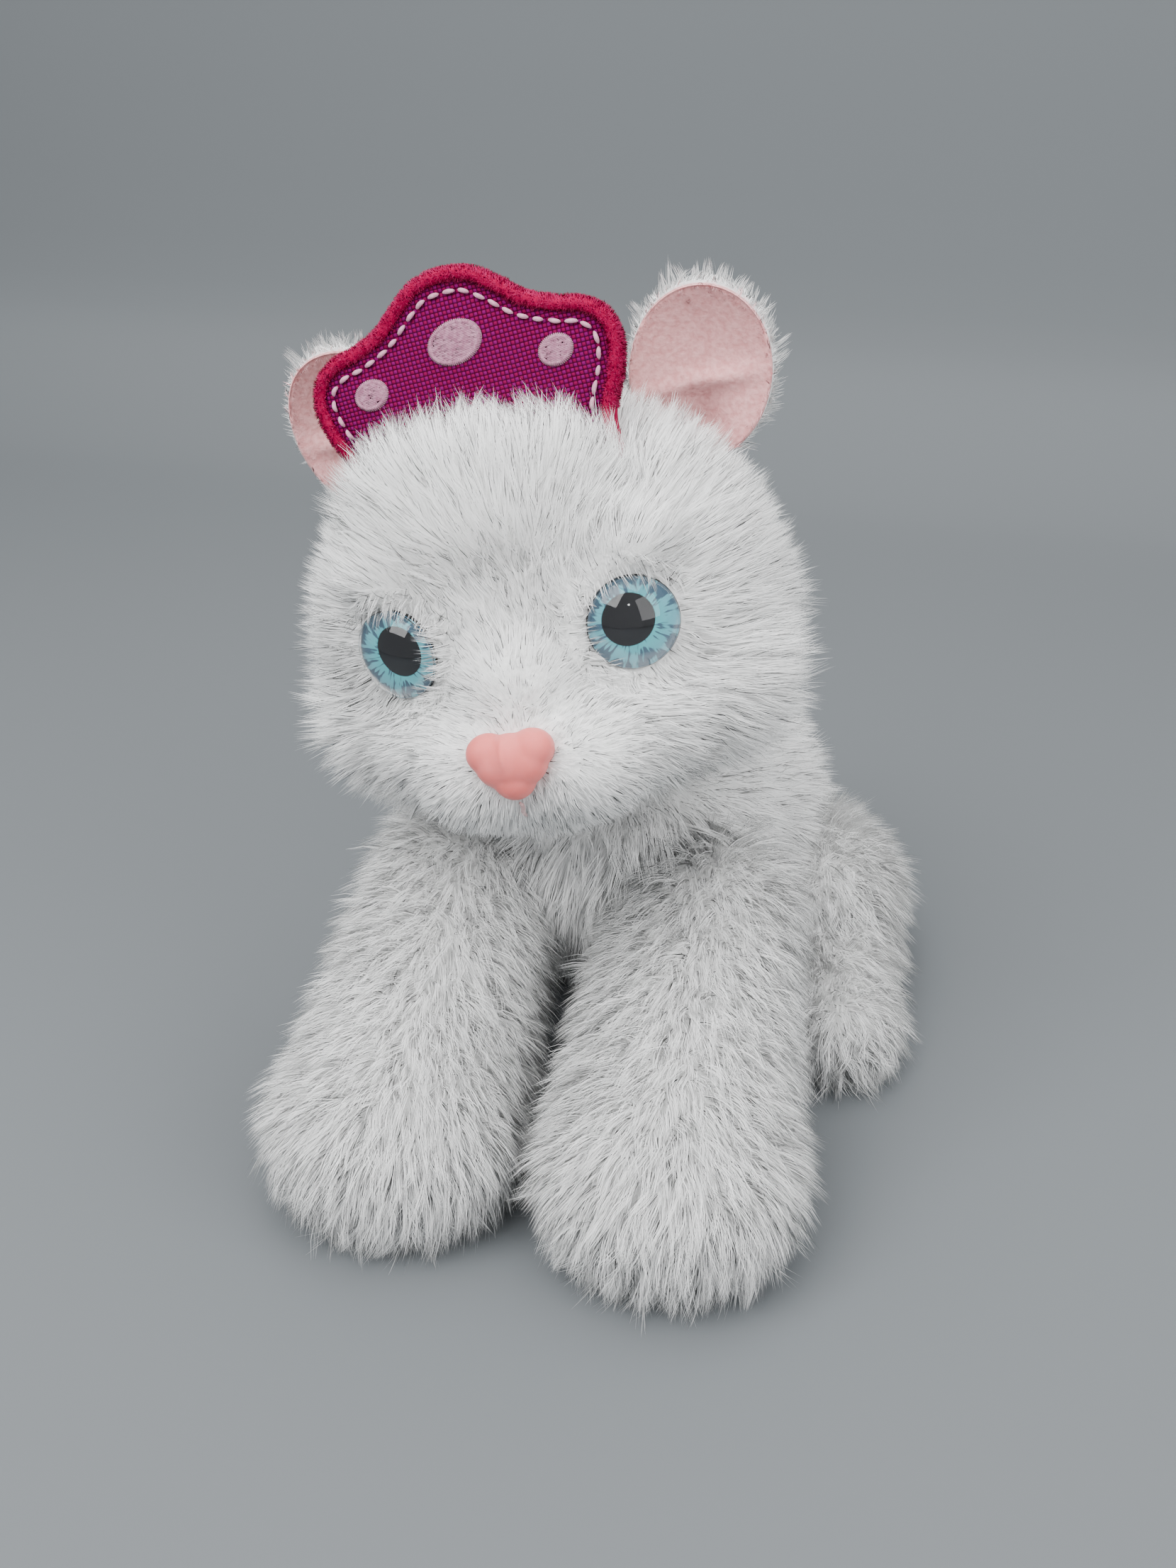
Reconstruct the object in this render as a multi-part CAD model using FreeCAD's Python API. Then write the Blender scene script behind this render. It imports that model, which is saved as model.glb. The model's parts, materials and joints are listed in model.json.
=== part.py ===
import FreeCAD, Part
import math
import os

# Interactive plush kitten, in millimetres.  It lies on its belly facing -Y with +Z up, and its own left
# side is +X.  Sewn skins hold fibre stuffing and pellets, the eyes and nose are moulded plastic with
# locking washers, a padded tiara is sewn to the head, and a button-cell sound unit sits in a belly pocket.

Vector = FreeCAD.Vector
Rotation = FreeCAD.Rotation
Placement = FreeCAD.Placement
X_AXIS = Vector(1, 0, 0)
Y_AXIS = Vector(0, 1, 0)
Z_AXIS = Vector(0, 0, 1)

# ---- driving dimensions -------------------------------------------------------------------------------

SKIN = 2.0                   # backing cloth with the dense foot of the pile
GAP = 0.5                    # clearance between sewn bodies that move
SOFT_GAP = 0.1               # clearance between pieces of one body

HEAD_HALF_WIDTH = 46.0
HEAD_RADIUS = 39.0
HEAD_CENTRE = Vector(-7.0, -42.0, 131.0)
HEAD_YAW = 6.0               # the face looks a little to the kitten's left
HEAD_ROLL = -12.0            # and the head leans to its right
MUZZLE_HALF_WIDTH = 19.0
MUZZLE_RADIUS = 14.5
MUZZLE_CENTRE = Vector(0.0, -41.0, -15.0)

NECK_LEAN = 22.0             # the neck seam faces forward of straight up
NECK_GAP = 2.2               # between the head's underside and the chest
NECK_RADIUS = 11.0

CHEST_HALF_WIDTH = 37.0
CHEST_RADIUS = 30.0
CHEST_CENTRE = Vector(0.0, -18.0, 66.0)
BELLY_HALF_LENGTH = 49.0
BELLY_RADIUS = 42.5
BELLY_CENTRE = Vector(0.0, 30.0, 41.0)

SHOULDER = Vector(29.0, -40.0, 58.0)
FRONT_PAW = Vector(30.5, -85.0, 21.4)
SHOULDER_RADIUS = 16.5
FRONT_PAW_RADIUS = 22.4
FRONT_SWING = (0.0, 35.0)

HIP = Vector(46.0, 38.0, 19.4)
HIND_PAW = Vector(59.0, -14.0, 11.2)
HIP_RADIUS = 20.0
HIND_PAW_RADIUS = 12.0
HIND_SWING = (0.0, 30.0)

TAIL_ROOT = Vector(0.0, 76.0, 20.0)
TAIL_TIP = Vector(-16.0, 124.0, 9.4)
TAIL_ROOT_RADIUS = 9.0
TAIL_TIP_RADIUS = 10.0
TAIL_WAG = (-25.0, 25.0)

EYE_RADIUS = 9.2
EYE_CENTRE = Vector(23.5, -32.6, 6.0)
EYE_TURN = 20.0              # each eye faces outward by this angle
EYE_TILT = 4.0               # and slightly upward
EYE_BASE = 1.6
EYE_DOME = 5.0
IRIS_RADIUS = 8.5
IRIS_THICKNESS = 0.5
STEM_RADIUS = 2.2
STEM_LENGTH = 12.0
WASHER_RADIUS = 6.5
WASHER_THICKNESS = 1.2

NOSE_CENTRE = Vector(0.0, -52.8, -11.2)
NOSE_PITCH = 15.0
NOSE_CORNERS = ((-4.7, 2.6), (4.7, 2.6), (0.0, -3.2))
NOSE_ROUND = 3.5
NOSE_DEPTH = 6.5
NOSE_EDGE_ROUND = 2.2
MOUTH_STITCH = (Vector(0, -55.7, -18.4), Vector(0, -53.9, -22.6))

EAR_CENTRE = Vector(39.0, 12.0, 41.0)
EAR_RIGHT_IN = 4.0           # the right ear is sewn this much nearer the middle
EAR_SEMI = (15.0, 19.0)
EAR_LEAN = 15.0
EAR_BACK = 3.0
EAR_FRONT = 2.0
EAR_GAP = 1.0
EAR_FOLD = (-20.0, 20.0)

TIARA_CENTRE = Vector(-4.0, -8.0, 52.5)
TIARA_ROLL = -3.5
TIARA_LEAN = -10.0
TIARA_HALF_OUTLINE = ((0.0, 20.3), (6.0, 19.3), (11.0, 16.0), (15.5, 12.4), (21.0, 10.1), (26.5, 8.6),
                      (30.6, 5.2), (32.0, 0.0), (30.6, -6.5), (27.5, -14.0), (26.0, -28.0), (13.0, -28.0))
TIARA_THICKNESS = 5.0
TIARA_BORDER = 2.6
TIARA_STITCH_INSET = 4.4
TIARA_FRONT = 1.0
TIARA_PAD = 2.0
STITCH_PITCH = 3.1
STITCH_LENGTH = 2.2
STITCH_WIDTH = 0.9
STITCH_HEIGHT = 0.5
STITCH_FOOT = -12.0          # the head's skin starts about here, so no stitch lies below it
DOT_HEIGHT = 0.4
TIARA_DOTS = ((0.0, 6.4, 5.4, 3.9), (19.3, 0.5, 3.3, 2.7), (-19.3, 0.5, 3.3, 2.7))

UNIT_CENTRE = Vector(0.0, 6.0, 27.0)
UNIT_PITCH = 135.0           # turns the unit's +Z to face forward and down, out of the belly
CASE_RADIUS = 19.0
CASE_HALF = 9.5
CASE_WALL = 1.5
BUTTON_RADIUS = 5.5
BUTTON_X = 10.0
BUTTON_TRAVEL = 1.2
SPEAKER_RADIUS = 9.0
SPEAKER_X = -7.5
BOARD_RADIUS = 16.8
BOARD_TOP = -1.6             # the face towards the button
BOARD_THICKNESS = 1.0
CELL_RADIUS = 5.8
CELL_HEIGHT = 5.4
CELL_RING = 6.9
DOOR_RADIUS = 14.0
CASE_SCREW_RING = 16.4
DOOR_SCREW_RING = 11.4
CASE_SCREW_ANGLES = (40.0, 140.0, 270.0)   # clear of the speaker and the button
DOOR_SCREW_ANGLE = 60.0
BOSS_RADIUS = 2.2
SWITCH_HEIGHT = 1.4
SWITCH_SLACK = 0.2           # left under the fully pressed button's stem

POCKET_HALF_WIDTH = 15.0
POCKET_HALF_HEIGHT = 14.0
FACING_LEVEL = 13.2
FACING_THICKNESS = 1.4
TAPE_THICKNESS = 0.6
FLAP_THICKNESS = 1.6
FLAP_MARGIN = 0.8
BOX_TOLERANCE = 0.05         # how closely the whole kitten's box is measured


# ---- helpers ------------------------------------------------------------------------------------------


def capsule(start, end, start_radius, end_radius):
    """A ball at each end joined by the cone that touches both."""
    along = end - start
    length = along.Length
    sine = (start_radius - end_radius) / length
    cosine = math.sqrt(1 - sine * sine)
    foot = Vector(0, 0, -start_radius)
    top = Vector(0, 0, length + end_radius)
    low = Vector(start_radius * cosine, 0, start_radius * sine)
    high = Vector(end_radius * cosine, 0, length + end_radius * sine)
    half = math.asin(sine) / 2
    below, above = half - math.pi / 4, half + math.pi / 4
    low_mid = Vector(start_radius * math.cos(below), 0, start_radius * math.sin(below))
    high_mid = Vector(end_radius * math.cos(above), 0, length + end_radius * math.sin(above))
    edges = [Part.Arc(foot, low_mid, low).toShape(), Part.makeLine(low, high),
             Part.Arc(high, high_mid, top).toShape(), Part.makeLine(top, foot)]
    shape = Part.Face(Part.Wire(edges)).revolve(Vector(), Z_AXIS, 360)
    shape.Placement = Placement(start, Rotation(Z_AXIS, along))
    return shape


def pill(half_length, radius, centre=Vector(), axis=X_AXIS):
    """A capsule of one radius, given by its half length over all."""
    reach = axis * (half_length - radius)
    return capsule(centre - reach, centre + reach, radius, radius)


def cylinder(radius, low, high, x=0.0, y=0.0):
    return Part.makeCylinder(radius, high - low, Vector(x, y, low))


def ring(outer, inner, low, high, x=0.0, y=0.0):
    return cylinder(outer, low, high, x, y).cut(cylinder(inner, low - 1, high + 1, x, y))


def block(low, high):
    return Part.makeBox(high[0] - low[0], high[1] - low[1], high[2] - low[2], Vector(*low))


def oval_plate(semi, low, thickness):
    """An upright oval in the XZ plane, given its X and Z half sizes, thickened along +Y."""
    wide, tall = semi
    turn = 0 if wide >= tall else 90
    edge = Part.Ellipse(Vector(), max(semi), min(semi)).toShape()
    face = Part.Face(Part.Wire(edge))
    face.rotate(Vector(), Z_AXIS, turn)
    face.rotate(Vector(), X_AXIS, 90)
    face.translate(low)
    return face.extrude(Vector(0, thickness, 0))


def largest(shape):
    return max(shape.Solids, key=lambda solid: solid.Volume)


def placed(shape, placement):
    moved = shape.copy()
    moved.Placement = placement.multiply(moved.Placement)
    return moved


def turned(shape, pivot, axis, degrees):
    moved = shape.copy()
    moved.rotate(pivot, axis, degrees)
    return moved


def mirrored(shape):
    return shape.mirror(Vector(), X_AXIS)


def swept(shape, pivot, axis, limits, steps):
    """Copies of a shape at even steps over a joint's travel."""
    low, high = limits
    return [turned(shape, pivot, axis, low + (high - low) * step / (steps - 1)) for step in range(steps)]


def above_floor(shape):
    return shape.common(block((-200, -200, 0), (200, 200, 300)))


def support(half_length, radius, direction):
    """The point furthest along a direction on a pill about the origin whose axis is X."""
    end = math.copysign(half_length - radius, direction.x)
    return Vector(end, 0, 0) + direction * radius


def inset(points, distance):
    """Each corner of a closed clockwise outline moved inward by a distance."""
    moved = []
    count = len(points)
    for index, point in enumerate(points):
        along = points[(index + 1) % count] - points[index - 1]
        inward = Vector(along.z, 0, -along.x)
        inward.normalize()
        moved.append(point + inward * distance)
    return moved


def spline(points):
    curve = Part.BSplineCurve()
    curve.interpolate(points, PeriodicFlag=True)
    return curve.toShape()


# ---- places -------------------------------------------------------------------------------------------

HEAD = Placement(HEAD_CENTRE, Rotation(Z_AXIS, HEAD_YAW).multiply(Rotation(Y_AXIS, HEAD_ROLL)))
NECK_NORMAL = Rotation(X_AXIS, NECK_LEAN).multVec(Z_AXIS)
NECK_SIDE = HEAD.Rotation.inverted().multVec(-NECK_NORMAL)
HEAD_UNDERSIDE = HEAD.multVec(support(HEAD_HALF_WIDTH, HEAD_RADIUS, NECK_SIDE))
NECK = HEAD_UNDERSIDE - NECK_NORMAL * (NECK_GAP / 2)
UNIT = Placement(UNIT_CENTRE, Rotation(X_AXIS, UNIT_PITCH))
TIARA_TURN = Rotation(Y_AXIS, TIARA_ROLL).multiply(Rotation(X_AXIS, TIARA_LEAN))
TIARA = HEAD.multiply(Placement(TIARA_CENTRE, TIARA_TURN))
NOSE = HEAD.multiply(Placement(NOSE_CENTRE, Rotation(X_AXIS, 90.0 - NOSE_PITCH)))
FLAP_BASE = FACING_LEVEL + FACING_THICKNESS + 2 * TAPE_THICKNESS + 0.3
FLAP_HINGE = Vector(0, POCKET_HALF_HEIGHT - FLAP_MARGIN, FLAP_BASE + FLAP_THICKNESS / 2)


def eye_place(side):
    centre = Vector(side * EYE_CENTRE.x, EYE_CENTRE.y, EYE_CENTRE.z)
    facing = Rotation(Z_AXIS, side * EYE_TURN).multiply(Rotation(X_AXIS, 90.0 - EYE_TILT))
    return HEAD.multiply(Placement(centre, facing))


def ear_place(side):
    across = EAR_CENTRE.x if side > 0 else EAR_RIGHT_IN - EAR_CENTRE.x
    centre = Vector(across, EAR_CENTRE.y, EAR_CENTRE.z)
    return HEAD.multiply(Placement(centre, Rotation(Y_AXIS, side * EAR_LEAN)))


def ear_hinge(side):
    return ear_place(side).multVec(Vector(0, EAR_BACK / 2, 2.0 - EAR_SEMI[1]))


# ---- sewn limbs ---------------------------------------------------------------------------------------

def limb(start, end, start_radius, end_radius, centre_plane=None):
    """A limb's skin, its fibre stuffing, and a bag of pellets in its far end."""
    def form(shrink):
        return capsule(start, end, start_radius - shrink, end_radius - shrink)
    outer = above_floor(form(0.0))
    floor_lift = Vector(0, 0, SKIN)
    inner = form(SKIN).common(block((-200, -200, floor_lift.z), (200, 200, 300)))
    if centre_plane is not None:
        outer = outer.common(block((centre_plane, -200, -1), (200, 200, 300)))
        inner = inner.common(block((centre_plane + SKIN, -200, -1), (200, 200, 300)))
    pellets = Part.makeSphere(end_radius * 0.62, end)
    pellets = pellets.common(form(SKIN + 1.0)).common(block((-200, -200, SKIN + 1.0), (200, 200, 300)))
    return outer.cut(inner), inner.cut(pellets), pellets


def limbs():
    parts = {}
    front = limb(SHOULDER, FRONT_PAW, SHOULDER_RADIUS, FRONT_PAW_RADIUS, 0.6 + GAP / 2)
    hind = limb(HIP, HIND_PAW, HIP_RADIUS, HIND_PAW_RADIUS)
    for name, shapes in (("front", front), ("hind", hind)):
        for layer, shape in zip(("skin", "stuffing", "pellets"), shapes):
            parts[f"{name}_leg_left_{layer}"] = shape
            parts[f"{name}_leg_right_{layer}"] = mirrored(shape)
    tail = limb(TAIL_ROOT, TAIL_TIP, TAIL_ROOT_RADIUS, TAIL_TIP_RADIUS)
    parts["tail_skin"] = tail[0]
    parts["tail_stuffing"] = tail[1].fuse(tail[2]).removeSplitter()
    return parts


def limb_clearances():
    """The space that the limbs sweep, with the clearance that the torso keeps from them."""
    front = capsule(SHOULDER, FRONT_PAW, SHOULDER_RADIUS + GAP, FRONT_PAW_RADIUS + GAP)
    hind = capsule(HIP, HIND_PAW, HIP_RADIUS + GAP, HIND_PAW_RADIUS + GAP)
    tail = capsule(TAIL_ROOT, TAIL_TIP, TAIL_ROOT_RADIUS + GAP, TAIL_TIP_RADIUS + GAP)
    left = swept(front, SHOULDER, -X_AXIS, FRONT_SWING, 4) + swept(hind, HIP, -X_AXIS, HIND_SWING, 4)
    return left + [mirrored(shape) for shape in left] + swept(tail, TAIL_ROOT, Z_AXIS, TAIL_WAG, 3)


# ---- torso --------------------------------------------------------------------------------------------

def torso_form(shrink):
    chest = pill(CHEST_HALF_WIDTH - shrink, CHEST_RADIUS - shrink, CHEST_CENTRE)
    belly = pill(BELLY_HALF_LENGTH - shrink, BELLY_RADIUS - shrink, BELLY_CENTRE, Y_AXIS)
    below_neck = block((-100, -100, -150), (100, 100, -NECK_GAP / 2 - shrink))
    below_neck = placed(below_neck, Placement(NECK, Rotation(X_AXIS, NECK_LEAN)))
    floor = block((-200, -200, shrink), (200, 200, 300))
    return chest.fuse(belly).common(below_neck).common(floor)


def torso():
    outer = torso_form(0.0)
    inner = torso_form(SKIN)
    neck_socket = Part.makeSphere(NECK_RADIUS + GAP, NECK)
    width, height = POCKET_HALF_WIDTH, POCKET_HALF_HEIGHT
    recess = placed(block((-width, -height, FACING_LEVEL - SOFT_GAP), (width, height, 40)), UNIT)
    pouch_space = placed(cylinder(CASE_RADIUS + 2.0, -CASE_HALF - 4.6, FACING_LEVEL - SOFT_GAP), UNIT)
    tools = limb_clearances() + [neck_socket, recess]
    skin = outer.cut(inner)
    stuffing = inner
    for tool in tools:
        skin = skin.cut(tool)
        stuffing = stuffing.cut(tool)
    pellets = pill(22.0, 9.0, Vector(0, 42, 15.0))
    stuffing = largest(stuffing.cut(pouch_space).cut(pellets))
    return {"torso_skin": skin, "torso_stuffing": stuffing, "rump_pellets": pellets,
            "neck_stuffing": Part.makeSphere(NECK_RADIUS, NECK)}


# ---- head ---------------------------------------------------------------------------------------------

def eye(side, place):
    """A clear dome over a printed iris, on a stemmed base held by a washer inside the head."""
    base = cylinder(EYE_RADIUS, 0, EYE_BASE).fuse(cylinder(STEM_RADIUS, -STEM_LENGTH, 0))
    ball_radius = (EYE_RADIUS ** 2 + EYE_DOME ** 2) / (2 * EYE_DOME)
    ball = Part.makeSphere(ball_radius, Vector(0, 0, EYE_BASE + EYE_DOME - ball_radius))
    iris = cylinder(IRIS_RADIUS, EYE_BASE, EYE_BASE + IRIS_THICKNESS)
    lens = ball.common(cylinder(EYE_RADIUS, EYE_BASE, EYE_BASE + EYE_DOME)).cut(iris)
    washer = ring(WASHER_RADIUS, STEM_RADIUS + 0.05, -SKIN - 2.6, -SKIN - 2.6 + WASHER_THICKNESS)
    shapes = {"lens": lens, "iris": iris, "base": base.removeSplitter(), "washer": washer}
    return {f"eye_{side}_{name}": placed(shape, place) for name, shape in shapes.items()}


def nose():
    corners = [Vector(x, y, 0) for x, y in NOSE_CORNERS]
    outline = Part.Face(Part.makePolygon(corners + corners[:1])).makeOffset2D(NOSE_ROUND)
    body = outline.extrude(Vector(0, 0, NOSE_DEPTH))
    rim = [edge for edge in body.Edges if edge.CenterOfMass.z > NOSE_DEPTH - 0.01]
    body = body.makeFillet(NOSE_EDGE_ROUND, rim)
    moulding = body.fuse(cylinder(STEM_RADIUS, -STEM_LENGTH, 0)).removeSplitter()
    washer = ring(5.0, STEM_RADIUS + 0.05, -7.2, -7.2 + WASHER_THICKNESS)
    return placed(moulding, NOSE), placed(washer, NOSE)


def ear(side, clear_of):
    """Two cloth layers of one rounded leaf, cut at the foot to clear the head over the whole fold."""
    place = ear_place(side)
    back = placed(oval_plate(EAR_SEMI, Vector(), EAR_BACK), place)
    front = placed(oval_plate(EAR_SEMI, Vector(0, -EAR_FRONT, 0), EAR_FRONT), place)
    for space in swept(clear_of, ear_hinge(side), place.Rotation.multVec(X_AXIS), EAR_FOLD, 5):
        back = back.cut(space)
        front = front.cut(space)
    return back, front


def tiara_outline(distance):
    half = [Vector(x, 0, z) for x, z in TIARA_HALF_OUTLINE]
    other = [Vector(-point.x, 0, point.z) for point in reversed(half[1:])]
    return spline(inset(half + other, distance))


def tiara_slab(distance, low, high):
    slab = Part.Face(Part.Wire(tiara_outline(distance))).extrude(Vector(0, high - low, 0))
    slab.translate(Vector(0, low, 0))
    return slab


def tiara_stitches(face_level):
    """Straight stitches along a line inside the border, one every pitch."""
    path = tiara_outline(TIARA_STITCH_INSET)
    half_width = STITCH_WIDTH / 2
    low = (0, face_level - STITCH_HEIGHT, -half_width)
    high = (STITCH_LENGTH, face_level, half_width)
    count = round(path.Length / STITCH_PITCH)
    points = path.discretize(Number=count + 1)
    stitches = []
    for start, end in zip(points, points[1:]):
        along = end - start
        if start.z < STITCH_FOOT:
            continue
        stitches.append(placed(block(low, high), Placement(start, Rotation(X_AXIS, along))))
    return Part.makeCompound(stitches)


def tiara(head_outer):
    half = TIARA_THICKNESS / 2
    pad_low = -half + TIARA_FRONT
    front = tiara_slab(TIARA_BORDER, -half, pad_low)
    padding = tiara_slab(TIARA_BORDER, pad_low, pad_low + TIARA_PAD)
    back = tiara_slab(0.0, -half, half).cut(front).cut(padding)
    dots = []
    for x, z, across, up in TIARA_DOTS:
        dots.append(oval_plate((across, up), Vector(x, -half - DOT_HEIGHT, z), DOT_HEIGHT))
    shapes = {"tiara_back": back, "tiara_padding": padding, "tiara_front": front,
              "tiara_dots": Part.makeCompound(dots), "tiara_stitching": tiara_stitches(-half)}
    return {name: placed(shape, TIARA).cut(head_outer) for name, shape in shapes.items()}


def head():
    head_outer = placed(pill(HEAD_HALF_WIDTH, HEAD_RADIUS), HEAD)
    head_inner = placed(pill(HEAD_HALF_WIDTH - SKIN, HEAD_RADIUS - SKIN), HEAD)
    muzzle_outer = placed(pill(MUZZLE_HALF_WIDTH, MUZZLE_RADIUS, MUZZLE_CENTRE), HEAD)
    muzzle_inner = placed(pill(MUZZLE_HALF_WIDTH - SKIN, MUZZLE_RADIUS - SKIN, MUZZLE_CENTRE), HEAD)
    parts = {}
    socket = Part.makeSphere(NECK_RADIUS + GAP, NECK)
    skin = head_outer.cut(head_inner).cut(socket)
    stuffing = head_inner.cut(socket)
    for side, sign in (("left", 1), ("right", -1)):
        place = eye_place(sign)
        parts.update(eye(side, place))
        seat = cylinder(STEM_RADIUS + SOFT_GAP, -STEM_LENGTH, 0)
        seat = seat.fuse(cylinder(EYE_RADIUS + SOFT_GAP, 0, EYE_BASE + EYE_DOME))
        skin = skin.cut(placed(seat, place))
        room = cylinder(WASHER_RADIUS + SOFT_GAP, -STEM_LENGTH - SOFT_GAP, 0)
        room = room.fuse(cylinder(EYE_RADIUS + SOFT_GAP, -SOFT_GAP, EYE_DOME))
        stuffing = stuffing.cut(placed(room, place))
    nose_shape, nose_washer = nose()
    behind_nose = placed(cylinder(5.2, -STEM_LENGTH - SOFT_GAP, 0), NOSE)
    parts["nose"] = nose_shape
    parts["nose_washer"] = nose_washer
    parts["muzzle_skin"] = muzzle_outer.cut(muzzle_inner).cut(head_outer).cut(nose_shape)
    parts["muzzle_stuffing"] = muzzle_inner.cut(head_outer).cut(behind_nose).cut(nose_shape)
    thread = capsule(*MOUTH_STITCH, 0.6, 0.6)
    parts["mouth_stitch"] = placed(thread, HEAD).cut(muzzle_outer).cut(nose_shape)
    skin = skin.cut(nose_shape)
    stuffing = stuffing.cut(nose_shape)
    parts["head_skin"] = skin
    parts["head_stuffing"] = stuffing
    clear_of = placed(pill(HEAD_HALF_WIDTH + EAR_GAP, HEAD_RADIUS + EAR_GAP), HEAD)
    for side, sign in (("left", 1), ("right", -1)):
        parts[f"ear_{side}_back"], parts[f"ear_{side}_front"] = ear(sign, clear_of)
    parts.update(tiara(head_outer))
    return parts


# ---- sound unit and its pocket ------------------------------------------------------------------------

def polar(radius, degrees):
    angle = math.radians(degrees)
    return radius * math.cos(angle), radius * math.sin(angle)


def case_screw_places():
    return [polar(CASE_SCREW_RING, degrees) for degrees in CASE_SCREW_ANGLES]


def cell_places():
    return [polar(CELL_RING, degrees) for degrees in (0, 120, 240)]


def unit_case():
    """The button-side cover and the battery-side base of the round case."""
    inside = CASE_RADIUS - CASE_WALL
    cover = cylinder(CASE_RADIUS, -CASE_HALF, 0).cut(cylinder(inside, -CASE_HALF + CASE_WALL, 1))
    cover = cover.cut(cylinder(BUTTON_RADIUS + 0.3, -CASE_HALF - 1, 0, BUTTON_X))
    holes = [(SPEAKER_X, 0.0)]
    holes += [(SPEAKER_X + x, y) for x, y in (polar(4.2, 60 * step) for step in range(6))]
    for x, y in holes:
        cover = cover.cut(cylinder(0.9, -CASE_HALF - 1, 0, x, y))
    base = cylinder(CASE_RADIUS, 0, CASE_HALF).cut(cylinder(inside, -1, CASE_HALF - CASE_WALL))
    base = base.cut(cylinder(DOOR_RADIUS + 0.2, 0, CASE_HALF + 1))
    for x, y in case_screw_places():
        boss = cylinder(BOSS_RADIUS, 0, CASE_HALF - CASE_WALL, x, y)
        base = base.fuse(boss.common(cylinder(CASE_RADIUS, 0, CASE_HALF)))
        base = base.cut(screw_space(x, y, CASE_HALF, 7.5))
        boss = cylinder(BOSS_RADIUS, -CASE_HALF + CASE_WALL, 0, x, y)
        cover = cover.fuse(boss.common(cylinder(CASE_RADIUS, -CASE_HALF, 0)))
        cover = cover.cut(cylinder(1.0, -5.0, 0, x, y))
    x, y = polar(DOOR_SCREW_RING, DOOR_SCREW_ANGLE)
    post = cylinder(2.4, BOARD_TOP + BOARD_THICKNESS + SOFT_GAP, CASE_HALF - CASE_WALL - 0.1, x, y)
    rib = placed(block((DOOR_SCREW_RING + 1, -1.0, 2.0), (inside + 0.5, 1.0, 7.5)),
                 Placement(Vector(), Rotation(Z_AXIS, DOOR_SCREW_ANGLE)))
    base = base.fuse(post).fuse(rib).cut(cylinder(0.8, 0, CASE_HALF, x, y))
    return cover.removeSplitter(), base.removeSplitter()


def screw(x, y, head_level, length):
    """A small pan-head screw with a slot, its head's top at a level and its shank towards -Z."""
    head_part = cylinder(1.8, head_level - 1.0, head_level, x, y)
    shank = cylinder(0.8, head_level - 1.0 - length, head_level - 1.0, x, y)
    slot = block((x - 1.8, y - 0.25, head_level - 0.45), (x + 1.8, y + 0.25, head_level + 1))
    return head_part.fuse(shank).cut(slot).removeSplitter()


def screw_space(x, y, head_level, length):
    head_part = cylinder(1.9, head_level - 1.05, head_level + 1, x, y)
    return head_part.fuse(cylinder(0.9, head_level - 1.1 - length, head_level, x, y))


def button():
    cap = cylinder(BUTTON_RADIUS, -CASE_HALF - 2.0, -CASE_HALF + 2.0, BUTTON_X)
    rim = [edge for edge in cap.Edges if edge.CenterOfMass.z < -CASE_HALF - 1.9]
    cap = cap.makeFillet(0.8, rim)
    inner_face = -CASE_HALF + CASE_WALL
    flange = cylinder(BUTTON_RADIUS + 1.0, inner_face + 0.1, inner_face + 0.9, BUTTON_X)
    stem_end = BOARD_TOP - SWITCH_HEIGHT - SWITCH_SLACK - BUTTON_TRAVEL
    stem = cylinder(1.6, -CASE_HALF + 2.0, stem_end, BUTTON_X)
    return cap.fuse(flange).fuse(stem).removeSplitter()


def button_spring():
    coil = Part.makeHelix(1.15, 3.6, 3.4)
    section = Part.Wire(Part.makeCircle(0.25, Vector(3.4, 0, 0), Y_AXIS))
    spring = Part.Wire(coil.Edges).makePipeShell([section], True, True)
    spring.translate(Vector(BUTTON_X, 0, -6.6 + 0.85))
    return spring


def speaker():
    rim_level = -CASE_HALF + CASE_WALL + 0.1
    frame = ring(SPEAKER_RADIUS, SPEAKER_RADIUS - 1.0, rim_level, rim_level + 3.0, SPEAKER_X)
    frame = frame.fuse(ring(SPEAKER_RADIUS, 3.4, rim_level + 3.0, rim_level + 3.8, SPEAKER_X))
    wide = Part.makeCone(2.6, SPEAKER_RADIUS - 1.2, 2.0, Vector(SPEAKER_X, 0, rim_level + 2.6), -Z_AXIS)
    hollow = Part.makeCone(2.2, SPEAKER_RADIUS - 1.6, 2.0, Vector(SPEAKER_X, 0, rim_level + 2.2), -Z_AXIS)
    magnet = cylinder(3.3, rim_level + 2.8, BOARD_TOP - 0.2, SPEAKER_X)
    return frame.removeSplitter(), wide.cut(hollow), magnet


def circuit_board():
    board = cylinder(BOARD_RADIUS, BOARD_TOP, BOARD_TOP + BOARD_THICKNESS)
    for x, y in case_screw_places():
        board = board.cut(cylinder(2.4, -9, 9, x, y))
    chip = cylinder(2.4, BOARD_TOP - 1.0, BOARD_TOP, 2.0, 10.5)
    board = board.fuse(chip).fuse(cylinder(3.0, BOARD_TOP - SWITCH_HEIGHT, BOARD_TOP, BUTTON_X))
    for x, y in ((-3.0, 12.6), (7.2, 8.6), (3.0, -11.0), (-2.0, -12.6)):
        board = board.fuse(block((x - 0.8, y - 0.5, BOARD_TOP - 0.6), (x + 0.8, y + 0.5, BOARD_TOP)))
    return board.removeSplitter()


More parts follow.
